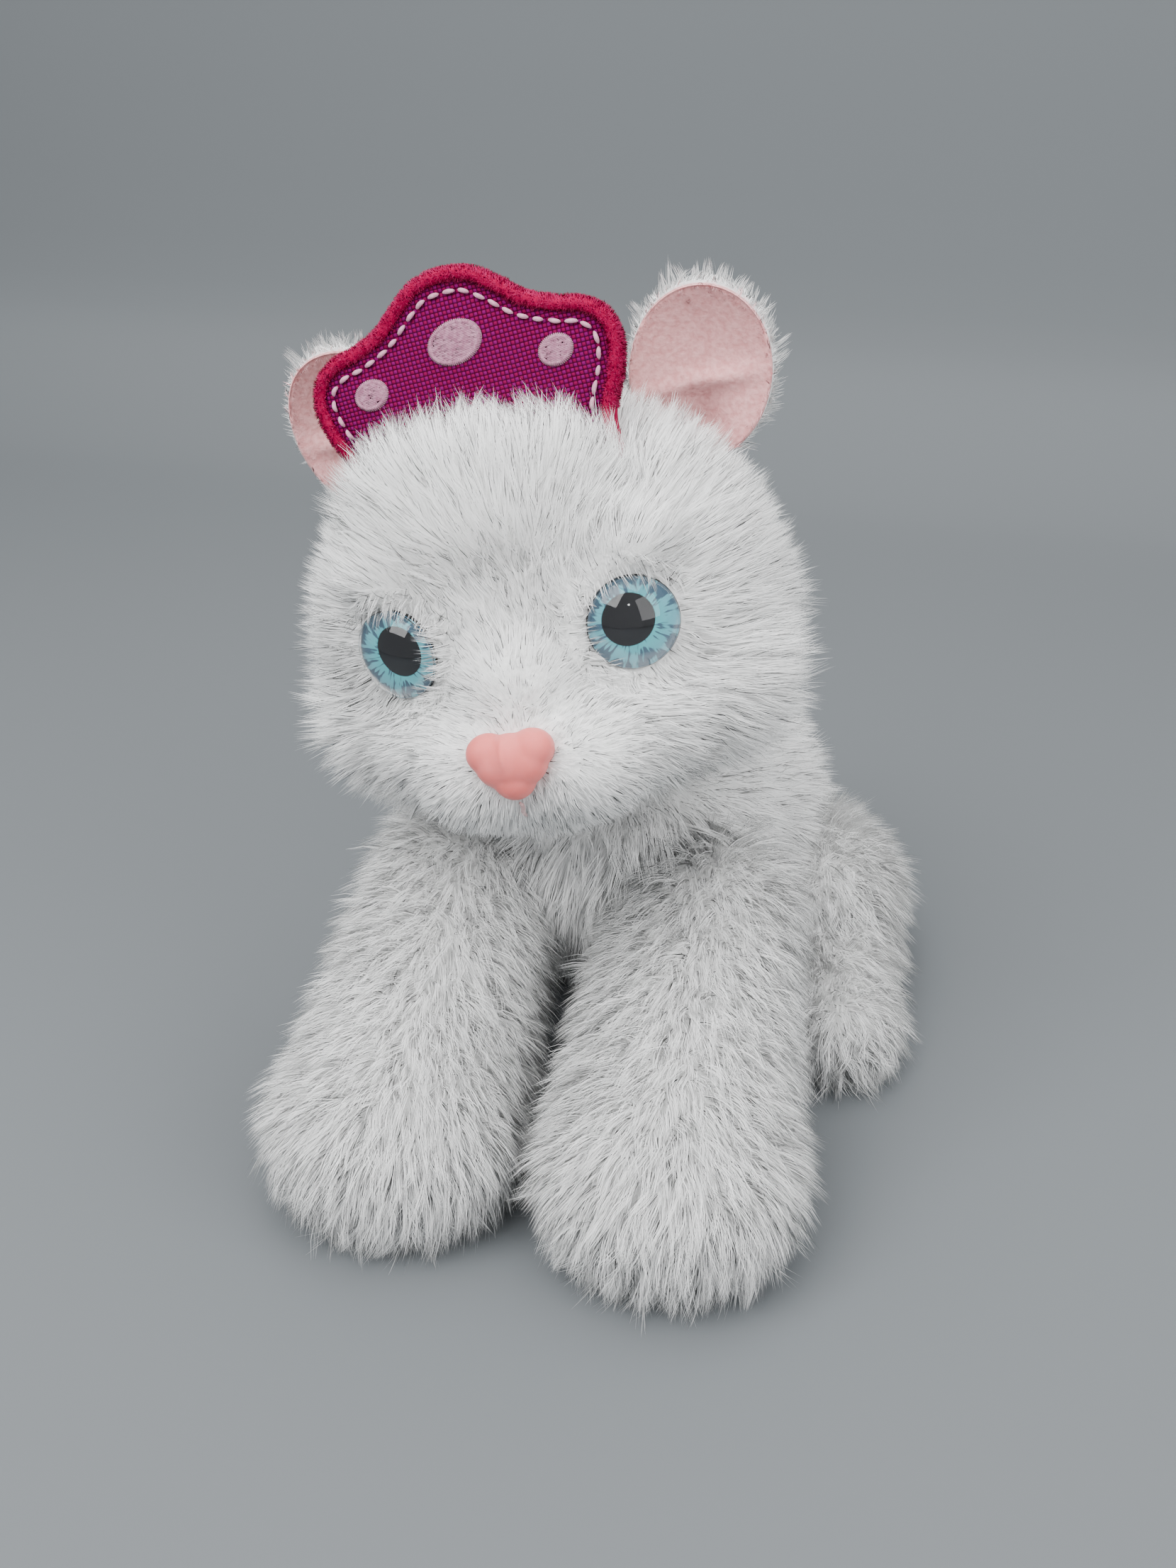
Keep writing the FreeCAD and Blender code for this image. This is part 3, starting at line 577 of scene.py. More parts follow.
def coat(name, body, piece, comb_of, length, per_mm2, sign=0, crowd=12, segments=2):
    """Pile of one length over a form; some of the pile on the legs' inner sides and between the front legs
    takes a darker, yellowish tone.
    """
    roots, normals = samples(piece, per_mm2)
    if name == "torso_fur":
        at = local(roots, UNIT)
        keep = ~((np.abs(at[:, 0]) < POCKET[0] + 0.5) & (np.abs(at[:, 1]) < POCKET[1] + 0.5) & (at[:, 2] > 0))
        roots, normals = roots[keep], normals[keep]
    lengths = np.full(len(roots), length * MM)
    low = 1 - ramp(roots[:, 2], 4 * MM, 16 * MM)
    lengths *= 1 + 0.35 * low * (RANDOM.random(len(roots)) < 0.3)
    tone = RANDOM.integers(0, 3, size=len(roots))
    if sign:
        inner = normals[:, 0] * sign < -0.35
    else:
        inner = (np.abs(roots[:, 0]) < 16 * MM) & (roots[:, 2] < 62 * MM)
    tone[inner & (RANDOM.random(len(roots)) < 0.55)] = YELLOWISH_TONE
    return grow_pile(name, body, roots, normals, comb_of(roots, normals), lengths, WHITE_FUR,
                     tone=tone, crowd=crowd, segments=segments, width=0.19, lift=17, lay=57, clump=0.36,
                     jitter=0.3, droop=0.2)


def paw_tufts(name, body, piece, toward):
    """Long stringy locks that hang round the paw's foot."""
    roots, normals = samples(piece, 1.6)
    low = (roots[:, 2] < 17 * MM) & (roots[:, 2] > 3 * MM)
    low &= (normals @ toward > -0.2) & (normals[:, 2] > -0.75)
    locks = np.array([noise.noise(Vector(root) * 210.0) > 0.12 for root in roots])
    keep = low & locks
    roots, normals = roots[keep], normals[keep]
    comb = np.tile(toward * 0.25, (len(roots), 1)) + normals * 0.15
    comb[:, 2] -= 1.0
    lengths = (11.5 + 3.5 * RANDOM.random(len(roots))) * MM
    grow_pile(name, body, roots, normals, unit(comb), lengths, WHITE_FUR, width=0.18, lift=30, lay=78,
              droop=0.35, clump=0.8, jitter=0.3, crowd=38, segments=3)


def build_coat():
    head = head_pelt()
    torso = torso_pelt()
    neck = neck_pelt()
    tail, tail_start, tail_end = tail_pelt()
    pelts = [(head, "head"), (torso, "torso"), (neck, "neck"), (tail, "tail")]
    roots, normals, comb, length = head_fur(head)
    grow_pile("head_fur", "head", roots, normals, comb, length, WHITE_FUR, width=0.18, lift=26, lay=68,
              clump=0.3, jitter=0.2, crowd=7, droop=0.1, segments=2)
    coat("torso_fur", "torso", torso, torso_comb, 9.6, 3.0)
    coat("neck_fur", "neck", neck, torso_comb, 10.0, 3.6)
    coat("tail_fur", "tail", tail, limb_comb(tail_start, tail_end), 9.6, 3.4)
    for side, sign in SIDES:
        leg, start, paw = front_leg_pelt(side, sign)
        pelts.append((leg, f"front_leg_{side}"))
        coat(f"front_leg_{side}_fur", f"front_leg_{side}", leg, limb_comb(start, paw), 9.8, 4.0, sign,
             crowd=9, segments=3)
        paw_tufts(f"front_leg_{side}_tufts", f"front_leg_{side}", leg, np.array((paw - start).normalized()))
        leg, start, paw = hind_leg_pelt(side, sign)
        pelts.append((leg, f"hind_leg_{side}"))
        coat(f"hind_leg_{side}_fur", f"hind_leg_{side}", leg, limb_comb(start, paw), 9.2, 3.6)
    backing = pelt_material()
    for piece, body in pelts:
        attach(piece, body)
        assign(piece, backing)


# ---- node materials ----

def placed_coordinates(nodes, links, frame_matrix):
    """Object coordinates seen from a frame, in metres."""
    place = nodes.new("ShaderNodeTexCoord")
    mapping = nodes.new("ShaderNodeMapping")
    mapping.vector_type = "TEXTURE"
    mapping.inputs["Location"].default_value = frame_matrix.translation
    mapping.inputs["Rotation"].default_value = frame_matrix.to_euler()
    links.new(place.outputs["Object"], mapping.inputs["Vector"])
    return mapping.outputs["Vector"]


def math_node(nodes, links, operation, *values, clamp=False):
    node = nodes.new("ShaderNodeMath")
    node.operation = operation
    node.use_clamp = clamp
    for socket, value in zip(node.inputs, values):
        if isinstance(value, (int, float)):
            socket.default_value = value
        else:
            links.new(value, socket)
    return node.outputs[0]


def mix_node(nodes, links, factor, first, second):
    node = nodes.new("ShaderNodeMix")
    node.data_type = "RGBA"
    links.new(factor, node.inputs["Factor"])
    for socket, value in zip(("A", "B"), (first, second)):
        if isinstance(value, tuple):
            node.inputs[socket].default_value = value
        else:
            links.new(value, node.inputs[socket])
    return node.outputs["Result"]


def noise_node(nodes, links, vector, scale, detail=2.0):
    node = nodes.new("ShaderNodeTexNoise")
    node.inputs["Scale"].default_value = scale
    node.inputs["Detail"].default_value = detail
    links.new(vector, node.inputs["Vector"])
    return node.outputs["Fac"]


def two_tone(nodes, links, factor, low, high, start=0.35, end=0.65):
    node = nodes.new("ShaderNodeValToRGB")
    node.color_ramp.elements[0].position = start
    node.color_ramp.elements[0].color = (*low, 1)
    node.color_ramp.elements[1].position = end
    node.color_ramp.elements[1].color = (*high, 1)
    links.new(factor, node.inputs["Fac"])
    return node.outputs["Color"]


def bump_from(nodes, links, height, shader, strength, distance_mm):
    bump = nodes.new("ShaderNodeBump")
    bump.inputs["Strength"].default_value = strength
    bump.inputs["Distance"].default_value = distance_mm * MM
    links.new(height, bump.inputs["Height"])
    links.new(bump.outputs["Normal"], shader.inputs["Normal"])


def speckled(name, low, high, scale, roughness, bump=0.0, **sockets):
    """A surface whose tone varies with fine noise, such as moulding, cloth or fibre."""
    material, nodes, links, shader = start_material(name)
    place = nodes.new("ShaderNodeTexCoord")
    grain = noise_node(nodes, links, place.outputs["Object"], scale, 3.0)
    links.new(two_tone(nodes, links, grain, low, high), shader.inputs["Base Color"])
    if bump:
        bump_from(nodes, links, grain, shader, bump, 0.3)
    set_inputs(shader, roughness, sockets)
    return material


def pelt_material():
    """The backing cloth with the dense foot of the pile."""
    return speckled("pelt_backing", (0.80, 0.80, 0.79), (0.93, 0.93, 0.92), 900, 0.9, bump=0.8,
                    Sheen_Weight=0.3)


def drawing_tools(nodes, links, matrix):
    """Coordinates from a frame, the same split into parts, and a short way to write arithmetic nodes."""
    at = placed_coordinates(nodes, links, matrix)
    parts = nodes.new("ShaderNodeSeparateXYZ")
    links.new(at, parts.inputs["Vector"])

    def op(operation, *values, clamp=False):
        return math_node(nodes, links, operation, *values, clamp=clamp)
    return at, parts.outputs, op


def iris_material(side, sign):
    """A turquoise ring with dark radial streaks, and a black pupil set a little inward and up."""
    material, nodes, links, shader = start_material(f"iris_print_{side}")
    _, parts, op = drawing_tools(nodes, links, EYES[side])
    x, y = (op("MULTIPLY", parts[axis], 1 / MM) for axis in "XY")
    radius = op("SQRT", op("ADD", op("MULTIPLY", x, x), op("MULTIPLY", y, y)))
    pupil_x = op("ADD", x, sign * 0.9)
    pupil_y = op("SUBTRACT", y, 0.8)
    from_pupil = op("SQRT", op("ADD", op("MULTIPLY", pupil_x, pupil_x), op("MULTIPLY", pupil_y, pupil_y)))
    spin = nodes.new("ShaderNodeCombineXYZ")
    links.new(op("DIVIDE", x, radius), spin.inputs["X"])
    links.new(op("DIVIDE", y, radius), spin.inputs["Y"])
    links.new(op("MULTIPLY", radius, 0.045), spin.inputs["Z"])
    streak = noise_node(nodes, links, spin.outputs["Vector"], 7.5, 1.0)
    edge = op("DIVIDE", op("SUBTRACT", radius, 5.0), 3.8, clamp=True)
    amount = op("SUBTRACT", op("ADD", streak, op("MULTIPLY", edge, 0.17)), 0.57)
    amount = op("MULTIPLY", amount, 14.0, clamp=True)
    outward = op("DIVIDE", radius, EYE_RADIUS)
    base = two_tone(nodes, links, outward, (0.12, 0.60, 0.66), (0.26, 0.66, 0.80), 0.5, 1.0)
    ring = mix_node(nodes, links, amount, base, (0.075, 0.16, 0.24, 1))
    within = op("MULTIPLY", op("SUBTRACT", 5.3, from_pupil), 6.0, clamp=True)
    pupil = mix_node(nodes, links, within, ring, (0.003, 0.003, 0.006, 1))
    links.new(pupil, shader.inputs["Base Color"])
    shader.inputs["Roughness"].default_value = 0.35
    return material


def weave_material():
    """Coarse basket weave, about 0.85 mm to a yarn, in magenta with purple where the yarns cross on top,
    darkened in the gaps as painted shade.
    """
    material, nodes, links, shader = start_material("tiara_weave_cloth")
    at, parts, op = drawing_tools(nodes, links, TIARA)
    wobble = noise_node(nodes, links, at, 260, 1.0)
    turns = 2 * math.pi / (0.85 * 2 * MM)
    shake = op("MULTIPLY", wobble, 0.0003)
    across, upward = (op("SINE", op("MULTIPLY", op("ADD", parts[axis], shake), turns)) for axis in "XZ")
    over = op("MULTIPLY", across, upward)
    height = op("SQRT", op("ABSOLUTE", over))
    # Painted shade: the dark low ends of both ramps colour the gaps between the yarns.
    yarn = two_tone(nodes, links, height, (0.05, 0.0003, 0.015), (0.20, 0.0006, 0.056), 0.15, 0.75)
    purple = two_tone(nodes, links, height, (0.05, 0.0003, 0.026), (0.18, 0.001, 0.105), 0.15, 0.75)
    share = op("MULTIPLY", op("ADD", over, op("SUBTRACT", wobble, 0.4)), 2.0, clamp=True)
    links.new(mix_node(nodes, links, share, yarn, purple), shader.inputs["Base Color"])
    shader.inputs["Roughness"].default_value = 0.8
    shader.inputs["Specular IOR Level"].default_value = 0.15
    bump_from(nodes, links, height, shader, 0.9, 0.35)
    return material


# ---- ears ----

def ear_depth(u, v):
    """How far back the leaf's middle layer lies, in mm, over its unit disc: cupped, with its top bent
    forward, a crease across the middle and a hollow below it."""
    radius = min(1.0, math.hypot(u, v))
    depth = 3.2 * (1 - radius ** 2) - 3.5 * max(0.0, v) ** 2
    depth -= 1.9 * math.exp(-((v + 0.12 - 0.25 * u) / 0.11) ** 2) * (1 - radius ** 2)
    depth += 4.4 * math.exp(-(u / 0.38) ** 2) * max(0.0, min(1.0, (-v - 0.05) / 0.5))
    return depth - 1.5


def leaf(name, side, sign, scale, front, back, rings=22, spokes=72):
    """A closed layer of the ear between two depths, in the ear's frame."""
    build = bmesh.new()
    layers = []
    for offset in (front, back):
        middle = build.verts.new((0, (ear_depth(0, 0) + offset) * MM, 0))
        rows = []
        for ring in range(1, rings + 1):
            part = ring / rings
            inset = 1 - (0.06 if ring == rings else 0.0)
            row = []
            for spoke in range(spokes):
                angle = 2 * math.pi * spoke / spokes
                u, v = part * math.cos(angle), part * math.sin(angle)
                rounding = (back - front) * 0.5 * part ** 14
                toward = offset + (rounding if offset == front else -rounding)
                x = sign * u * EAR_WIDE * scale * inset
                z = v * EAR_TALL * scale * inset
                row.append(build.verts.new((x * MM, (ear_depth(u, v) + toward) * MM, z * MM)))
            rows.append(row)
        layers.append((middle, rows))
    for middle, rows in layers:
        for spoke in range(spokes):
            after = (spoke + 1) % spokes
            build.faces.new((middle, rows[0][spoke], rows[0][after]))
            for inner, outer in zip(rows, rows[1:]):
                build.faces.new((inner[spoke], outer[spoke], outer[after], inner[after]))
    rim_front, rim_back = layers[0][1][-1], layers[1][1][-1]
    for spoke in range(spokes):
        after = (spoke + 1) % spokes
        build.faces.new((rim_front[spoke], rim_back[spoke], rim_back[after], rim_front[after]))
    bmesh.ops.recalc_face_normals(build, faces=build.faces)
    return add_object(name, mesh_from(build, name, EARS[side]))


def build_ears():
    lining_cloth = speckled("ear_lining_cloth", (0.70, 0.31, 0.31), (0.84, 0.44, 0.44), 900, 0.9, bump=0.8,
                            Sheen_Weight=0.3)
    backing = speckled("ear_back_cloth", (0.80, 0.79, 0.78), (0.93, 0.92, 0.92), 900, 0.9, bump=0.8)
    for side, sign in SIDES:
        shell = leaf(f"ear_{side}_shell", side, sign, 1.0, 0.0, 3.0)
        lining = leaf(f"ear_{side}_lining", side, sign, 0.985, -1.6, 0.1)
        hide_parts(f"ear_{side}_back")
        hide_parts(f"ear_{side}_front")
        for piece, cloth, name in ((shell, backing, "white_plush"), (lining, lining_cloth, "pink_plush")):
            assign(piece, cloth)
            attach(piece, f"ear_{side}")
        upward = aim(EARS[side], 0, 0, 1)
        foot = np.array(EARS[side] @ Vector((0, 0, -14 * MM)))
        roots, normals = samples(lining, 9.0)
        at = local(roots, EARS[side])
        keep = facing_in(roots, normals, EARS[side]) < -0.2
        roots, normals, at = roots[keep], normals[keep], at[keep]
        comb = unit(unit(roots - foot) + upward * 0.3)
        # Painted shade: strands in the hollow below the ear's crease take the darker second pink tone.
        hollow = np.exp(-(at[:, 0] / 6.5) ** 2) * ramp(-at[:, 2], 0, 9)
        shaded_hollow = RANDOM.random(len(roots)) < hollow
        tone = np.where(shaded_hollow, 1, np.where(RANDOM.random(len(roots)) < 0.5, 0, 2))
        grow_pile(f"ear_{side}_pink_pile", f"ear_{side}", roots, normals, comb, 1.9 * MM,
                  PINK_FUR, width=0.17, lift=25, lay=60, droop=0.0, clump=0.3, crowd=7, tone=tone, segments=2)
        roots, normals = samples(shell, 4.2)
        at = local(roots, EARS[side])
        rim = np.hypot(at[:, 0] / EAR_WIDE, at[:, 2] / EAR_TALL) > 0.93
        keep = (facing_in(roots, normals, EARS[side]) > 0.1) | rim
        roots, normals, rim = roots[keep], normals[keep], rim[keep]
        comb = unit(unit(roots - foot) + upward * 0.2)
        grow_pile(f"ear_{side}_white_pile", f"ear_{side}", roots, normals, comb, np.where(rim, 1.7, 4.6) * MM,
                  WHITE_FUR, width=0.2, lift=30, lay=72, droop=0.05, clump=0.4)


# ---- tiara ----

HALF_OUTLINE = ((0.0, 20.3), (6.0, 19.3), (11.0, 16.0), (15.5, 12.4), (21.0, 10.1), (26.5, 8.6),
                (30.6, 5.2), (32.0, 0.0), (30.6, -6.5), (27.5, -14.0), (26.0, -28.0), (13.0, -28.0))
TIARA_FRONT_LEVEL = -2.5
DOTS = ((0.0, 6.4, 5.4, 3.9), (19.3, 0.5, 3.3, 2.7), (-19.3, 0.5, 3.3, 2.7))


def tiara_outline(count=260):
    """Evenly spaced points round the tiara, in mm, on a smooth closed curve through its corners."""
    corners = list(HALF_OUTLINE) + [(-x, z) for x, z in reversed(HALF_OUTLINE[1:])]
    corners = np.array(corners)
    dense = []
    total = len(corners)
    for index in range(total):
        a, b, c, d = (corners[(index + step) % total] for step in (-1, 0, 1, 2))
        for part in np.linspace(0, 1, 24, endpoint=False):
            dense.append(0.5 * (2 * b + (c - a) * part + (2 * a - 5 * b + 4 * c - d) * part ** 2 +
                                (3 * b - a - 3 * c + d) * part ** 3))
    dense = np.array(dense + dense[:1])
    reach = np.concatenate([[0], np.cumsum(np.linalg.norm(np.diff(dense, axis=0), axis=1))])
    even = np.linspace(0, reach[-1], count, endpoint=False)
    return np.stack([np.interp(even, reach, dense[:, axis]) for axis in range(2)], axis=1)


def moved_in(points, distance):
    along = unit(np.roll(points, -2, axis=0) - np.roll(points, 2, axis=0))
    inward = np.stack([along[:, 1], -along[:, 0]], axis=1)
    return points + inward * distance


def filled(points, spacing, level_of):
    """Triangles that fill a closed outline on an even grid, with a depth worked out for each point."""
    low, high = points.min(axis=0), points.max(axis=0)
    tree = finder(points)
    grid = [Vector(point) for point in points]
    for row, z in enumerate(np.arange(low[1], high[1], spacing * 0.87)):
        for x in np.arange(low[0] + (row % 2) * spacing / 2, high[0], spacing):
            if tree.find((x, z, 0))[2] > spacing * 0.55:
                grid.append(Vector((x, z)))
    loop = [list(range(len(points)))]
    places, _, faces, *_ = geometry.delaunay_2d_cdt(grid, [], loop, 2, 1e-5)
    spots = []
    for place in places:
        spots.append((place.x, level_of(tree.find((place.x, place.y, 0))[2], place.x, place.y), place.y))
    return spots, faces


def mesh_piece(name, spots, faces, matrix):
    mesh = bpy.data.meshes.new(name)
    mesh.from_pydata([matrix @ (Vector(spot) * MM) for spot in spots], [], faces)
    mesh.update()
    make_smooth(mesh)
    return add_object(name, mesh)


def thicken(piece, thickness, offset):
    """Gives a flat piece its cloth's thickness, in mm."""
    solid = piece.modifiers.new("thickness", "SOLIDIFY")
    solid.thickness = thickness * MM
    solid.offset = offset
    apply_modifiers(piece)
    tidy_mesh(piece)


def thread_rows(paths, radii, sides):
    """Tubes along several paths, each with its own radius at every point, as one list of points and faces."""
    spots, faces = [], []
    for path, radius in zip(paths, radii):
        first = len(spots)
        path = np.array(path)
        along = unit(np.gradient(path, axis=0))
        side = unit(np.cross(along, np.array([0.0, 1.0, 0.0])))
        top = np.cross(side, along)
        for place, right, above, size in zip(path, side, top, radius):
            for step in range(sides):
                angle = 2 * math.pi * step / sides
                spots.append(tuple(place + (right * math.cos(angle) + above * math.sin(angle)) * size))
        for row in range(len(path) - 1):
            for step in range(sides):
                a = first + row * sides + step
                b = first + row * sides + (step + 1) % sides
                faces.append((a, b, b + sides, a + sides))
        faces.append(tuple(first + step for step in reversed(range(sides))))
        faces.append(tuple(first + (len(path) - 1) * sides + step for step in range(sides)))
    return spots, faces


def thread_piece(name, paths, radii, sides, matrix, cotton, slot, node):
    """Sewn threads as one finished piece."""
    spots, faces = thread_rows(paths, radii, sides)
    piece = mesh_piece(name, spots, faces, matrix)
    tidy_mesh(piece)
    thread = speckled(*cotton, 1400, 0.5, Sheen_Weight=0.3, Specular_IOR_Level=0.6)
    finish_piece(piece, thread, slot, node)


def build_tiara():
    outline = tiara_outline()
    border = ((2.6, -1.4), (2.5, -2.4), (2.0, -3.0), (1.2, -3.15), (0.5, -2.8), (0.05, -1.9), (-0.15, -0.7),
              (-0.1, 0.6), (0.35, 1.8), (1.3, 2.6), (3.0, 3.0))
    spots, faces = [], []
    count = len(outline)
    for distance, level in border:
        for x, z in moved_in(outline, distance):
            spots.append((x, level, z))
    for row in range(len(border) - 1):
        for step in range(count):
            after = (step + 1) % count
            low, high = row * count, (row + 1) * count
            faces.append((low + step, low + after, high + after, high + step))
    for distance, level, turned in ((2.6, -1.4, True), (3.0, 3.0, False)):
        swell = 0.6 if level > 0 else 0.0
        cap, triangles = filled(moved_in(outline, distance), 2.0,
                                lambda gap, x, z: level + swell * (1 - math.exp(-gap / 4)))
        first = len(spots)
        spots += cap
        for triangle in triangles:
            corners = triangle if turned else reversed(triangle)
            faces.append(tuple(first + corner for corner in corners))
    shell = mesh_piece("tiara_border", spots, faces, TIARA)
    tidy_mesh(shell)
    felt = speckled("tiara_brushed_cloth", (0.24, 0.0005, 0.035), (0.36, 0.001, 0.055), 700, 0.9, bump=0.8,
                    Specular_IOR_Level=0.15)
    finish_piece(shell, felt, "tiara_felt", "tiara_back")

    def crown(gap, x, z):
        groove = 0.5 * math.exp(-((gap - 2.0) / 0.6) ** 2)
        return TIARA_FRONT_LEVEL + 0.4 - 1.0 * (1 - math.exp(-gap / 3.5)) + groove
    spots, faces = filled(moved_in(outline, 2.4), 0.7, crown)
    panel = mesh_piece("tiara_panel", spots, faces, TIARA)
    thicken(panel, 0.5, -1)
    finish_piece(panel, weave_material(), "tiara_weave", "tiara_front")

    roots, normals = samples(shell, 16.0)
    at = local(roots, TIARA)
    keep = at[:, 2] > -13
    roots, normals = roots[keep], normals[keep]
    keep = (facing_in(roots, normals, TIARA) > -0.98) | (np.abs(at[keep][:, 1]) > 2.0)
    comb = unit(RANDOM.normal(size=(int(keep.sum()), 3)))
    pile = grow_pile("tiara_border_pile", "head", roots[keep], normals[keep], comb, 0.7 * MM,
                     RED_FUR, width=0.13, lift=15, lay=45, droop=0.0, clump=0.1, segments=2)
    build_stitching(outline)
    build_dots()


def build_stitching(outline):
    """Running stitches that dip into the cloth at both ends."""
    path = moved_in(outline, 4.4)
    path = np.concatenate([path, path[:1]])
    reach = np.concatenate([[0], np.cumsum(np.linalg.norm(np.diff(path, axis=0), axis=1))])
    total = int(reach[-1] / 3.1)
    paths, radii = [], []
    for number in range(total):
        start = number * reach[-1] / total
        length = 2.25 + RANDOM.normal() * 0.15
        steps = np.linspace(start, start + length, 8)
        points = np.stack([np.interp(steps, reach, path[:, axis]) for axis in range(2)], axis=1)
        if points[0, 1] < -12:
            continue
        rise = np.sin(np.linspace(0, math.pi, 8))
        slant = RANDOM.normal() * 0.1
        paths.append([(x, -2.55 - 0.55 * up, z + slant * (step / 4 - 1))
                      for step, ((x, z), up) in enumerate(zip(points, rise))])
        radii.append(0.16 + 0.30 * rise ** 0.5)
    thread_piece("tiara_running_stitch", paths, radii, 8, TIARA,
                 ("stitch_thread", (0.52, 0.22, 0.32), (0.68, 0.36, 0.46)), "tiara_thread", "tiara_stitching")


def build_dots():
    """Satin-stitched ovals: close parallel threads over a padded middle, and a short stitched edge."""
    paths, radii = [], []
    for middle_x, middle_z, across, up in DOTS:
        pitch = 0.30
        rows = int(2 * up / pitch)
        for row in range(rows):
            z = -up + (row + 0.5) * pitch
            half = across * math.sqrt(max(0.0, 1 - (z / up) ** 2))
            if half < 0.5:
                continue
            breaks = sorted(RANDOM.uniform(-half, half, size=2))
            for start, end in ((-half, breaks[0]), (breaks[0], breaks[1]), (breaks[1], half)):
                if end - start < 0.5:
                    continue
                steps = np.linspace(start + 0.05, end - 0.05, 5)
                path = []
                for x in steps:
                    share = 1 - (x / across) ** 2 - (z / up) ** 2
                    crown = 0.35 + 0.45 * max(0.0, share) ** 0.5
                    height = middle_z + z + 0.12 * x + RANDOM.normal() * 0.02
                    path.append((middle_x + x, -3.15 - crown * 0.6, height))
                paths.append(path)
                radii.append(0.19 * np.array([0.7, 1, 1.05, 1, 0.7]))
        count = int(2 * math.pi * (across + up) / 2 / 0.34)
        for step in range(count):
            angle = 2 * math.pi * step / count
            inner = Vector((math.cos(angle) * (across - 0.7), math.sin(angle) * (up - 0.7)))
            outer = Vector((math.cos(angle) * (across + 0.25), math.sin(angle) * (up + 0.25)))
            lean = 0.12 * inner.x
            paths.append([(middle_x + spot.x, level, middle_z + spot.y + lean)
                          for spot, level in ((inner, -3.5), ((inner + outer) / 2, -3.62), (outer, -3.0))])
            radii.append(np.array([0.16, 0.19, 0.14]))
    thread_piece("tiara_satin_dots", paths, radii, 5, TIARA,
                 ("dot_thread", (0.34, 0.13, 0.21), (0.52, 0.26, 0.36)), "tiara_thread", "tiara_dots")


def tidy_mesh(piece):
    """Joins the seams between a piece's patches, drops loose points, and turns every face outward."""
    build = bmesh.new()
    build.from_mesh(piece.data)
    bmesh.ops.remove_doubles(build, verts=build.verts, dist=0.004 * MM)
    bmesh.ops.delete(build, geom=[vertex for vertex in build.verts if not vertex.link_faces], context="VERTS")
    bmesh.ops.recalc_face_normals(build, faces=build.faces)
    build.to_mesh(piece.data)
    build.free()


def finish_piece(piece, material, slot, *nodes, body="head"):
    assign(piece, material)
    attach(piece, body)
    if nodes:
        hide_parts(*nodes)


# ---- eyes ----

def lathe(name, profile, matrix, steps=96):
    """A closed form turned from (radius, level) points in mm, whose first and last points lie on the axis."""
    build = bmesh.new()
    rows = []
    for radius, level in profile:
        turns = [0.0] if radius == 0 else [2 * math.pi * step / steps for step in range(steps)]
        rows.append([build.verts.new((radius * math.cos(turn) * MM, radius * math.sin(turn) * MM, level * MM))
                     for turn in turns])
    for one, other in zip(rows, rows[1:]):
        for step in range(steps):
            after = (step + 1) % steps
            if len(one) == 1:
                build.faces.new((one[0], other[step], other[after]))
            elif len(other) == 1:
                build.faces.new((one[step], other[0], one[after]))
            else:
                build.faces.new((one[step], other[step], other[after], one[after]))
    bmesh.ops.recalc_face_normals(build, faces=build.faces)
    return add_object(name, mesh_from(build, name, matrix))


def build_eyes():
    """Each eye is a clear dome shell over a printed disc, as the moulded dome reads from outside."""
    clear = plain("clear_dome", (1.0, 1.0, 1.0), 0.02, Transmission_Weight=1.0, IOR=1.45)
    base, rise, wall = 2.2, 4.4, 0.45
    ball = (EYE_RADIUS ** 2 + rise ** 2) / (2 * rise)
    reach = math.asin(EYE_RADIUS / ball)

    def cap_points(radius, sweep, top, steps):
        angles = [sweep * step / 14 for step in steps]
        return [(radius * math.sin(angle), top - radius * (1 - math.cos(angle))) for angle in angles]
    outer = cap_points(ball, reach, base + rise, range(15))
    inner = cap_points(ball - wall, reach * 0.985, base + rise - wall, range(14, -1, -1))
    disc = [(0, 2.0), (3, 1.99), (6, 1.95), (8, 1.9), (8.9, 1.85), (9.1, 1.7), (9.05, 1.62), (6, 1.61),
            (0, 1.61)]
    for side, sign in SIDES:
        dome = lathe(f"eye_{side}_dome", outer + inner, EYES[side])
        finish_piece(dome, clear, "eye_clear", f"eye_{side}_lens")
        print_disc = lathe(f"eye_{side}_print", disc, EYES[side])
        finish_piece(print_disc, iris_material(side, sign), "eye_print", f"eye_{side}_iris")


# ---- nose and mouth ----

def build_nose():
    """Three soft lobes with a shallow ridge, moulded as one piece."""
    blobs = [blob(NOSE @ (Vector(place) * MM), semi, NOSE.to_3x3().to_4x4()) for place, semi in (
        ((-4.3, 2.2, 2.0), (4.4, 4.0, 4.2)), ((4.3, 2.2, 2.0), (4.4, 4.0, 4.2)),
        ((0, -3.0, 1.8), (4.3, 4.3, 4.2)), ((-2.3, 0.2, 2.3), (4.9, 4.9, 4.4)),
        ((2.3, 0.2, 2.3), (4.9, 4.9, 4.4)), ((0, 0.6, 2.7), (5.6, 5.2, 4.6)),
        ((-0.4, 1.4, 3.6), (1.3, 4.2, 4.2)), ((0, 0, -3), (3.0, 3.0, 4.0)))]
    piece = soft_form("nose_moulding", blobs, voxel=0.45, rounds=9, lumps=0.12, floor=0.0)
    material = speckled("nose_moulded", (0.78, 0.17, 0.155), (0.84, 0.21, 0.195), 160, 0.42, bump=0.08,
                        Subsurface_Weight=0.15, Subsurface_Scale=0.002)
    finish_piece(piece, material, "nose_plastic", "nose")
    path = [tuple(in_head(0.25 * math.sin(step * 1.3), -56.2 + 0.42 * step, -18.6 - 0.8 * step) / MM)
            for step in range(6)]
    thread_piece("mouth_thread", [path], [np.array([0.25, 0.42, 0.45, 0.45, 0.42, 0.25])], 8,
                 Matrix.Identity(4), ("mouth_thread_cotton", (0.42, 0.26, 0.26), (0.60, 0.40, 0.40)),
                 "pink_thread", "mouth_stitch")


# ---- pocket ----

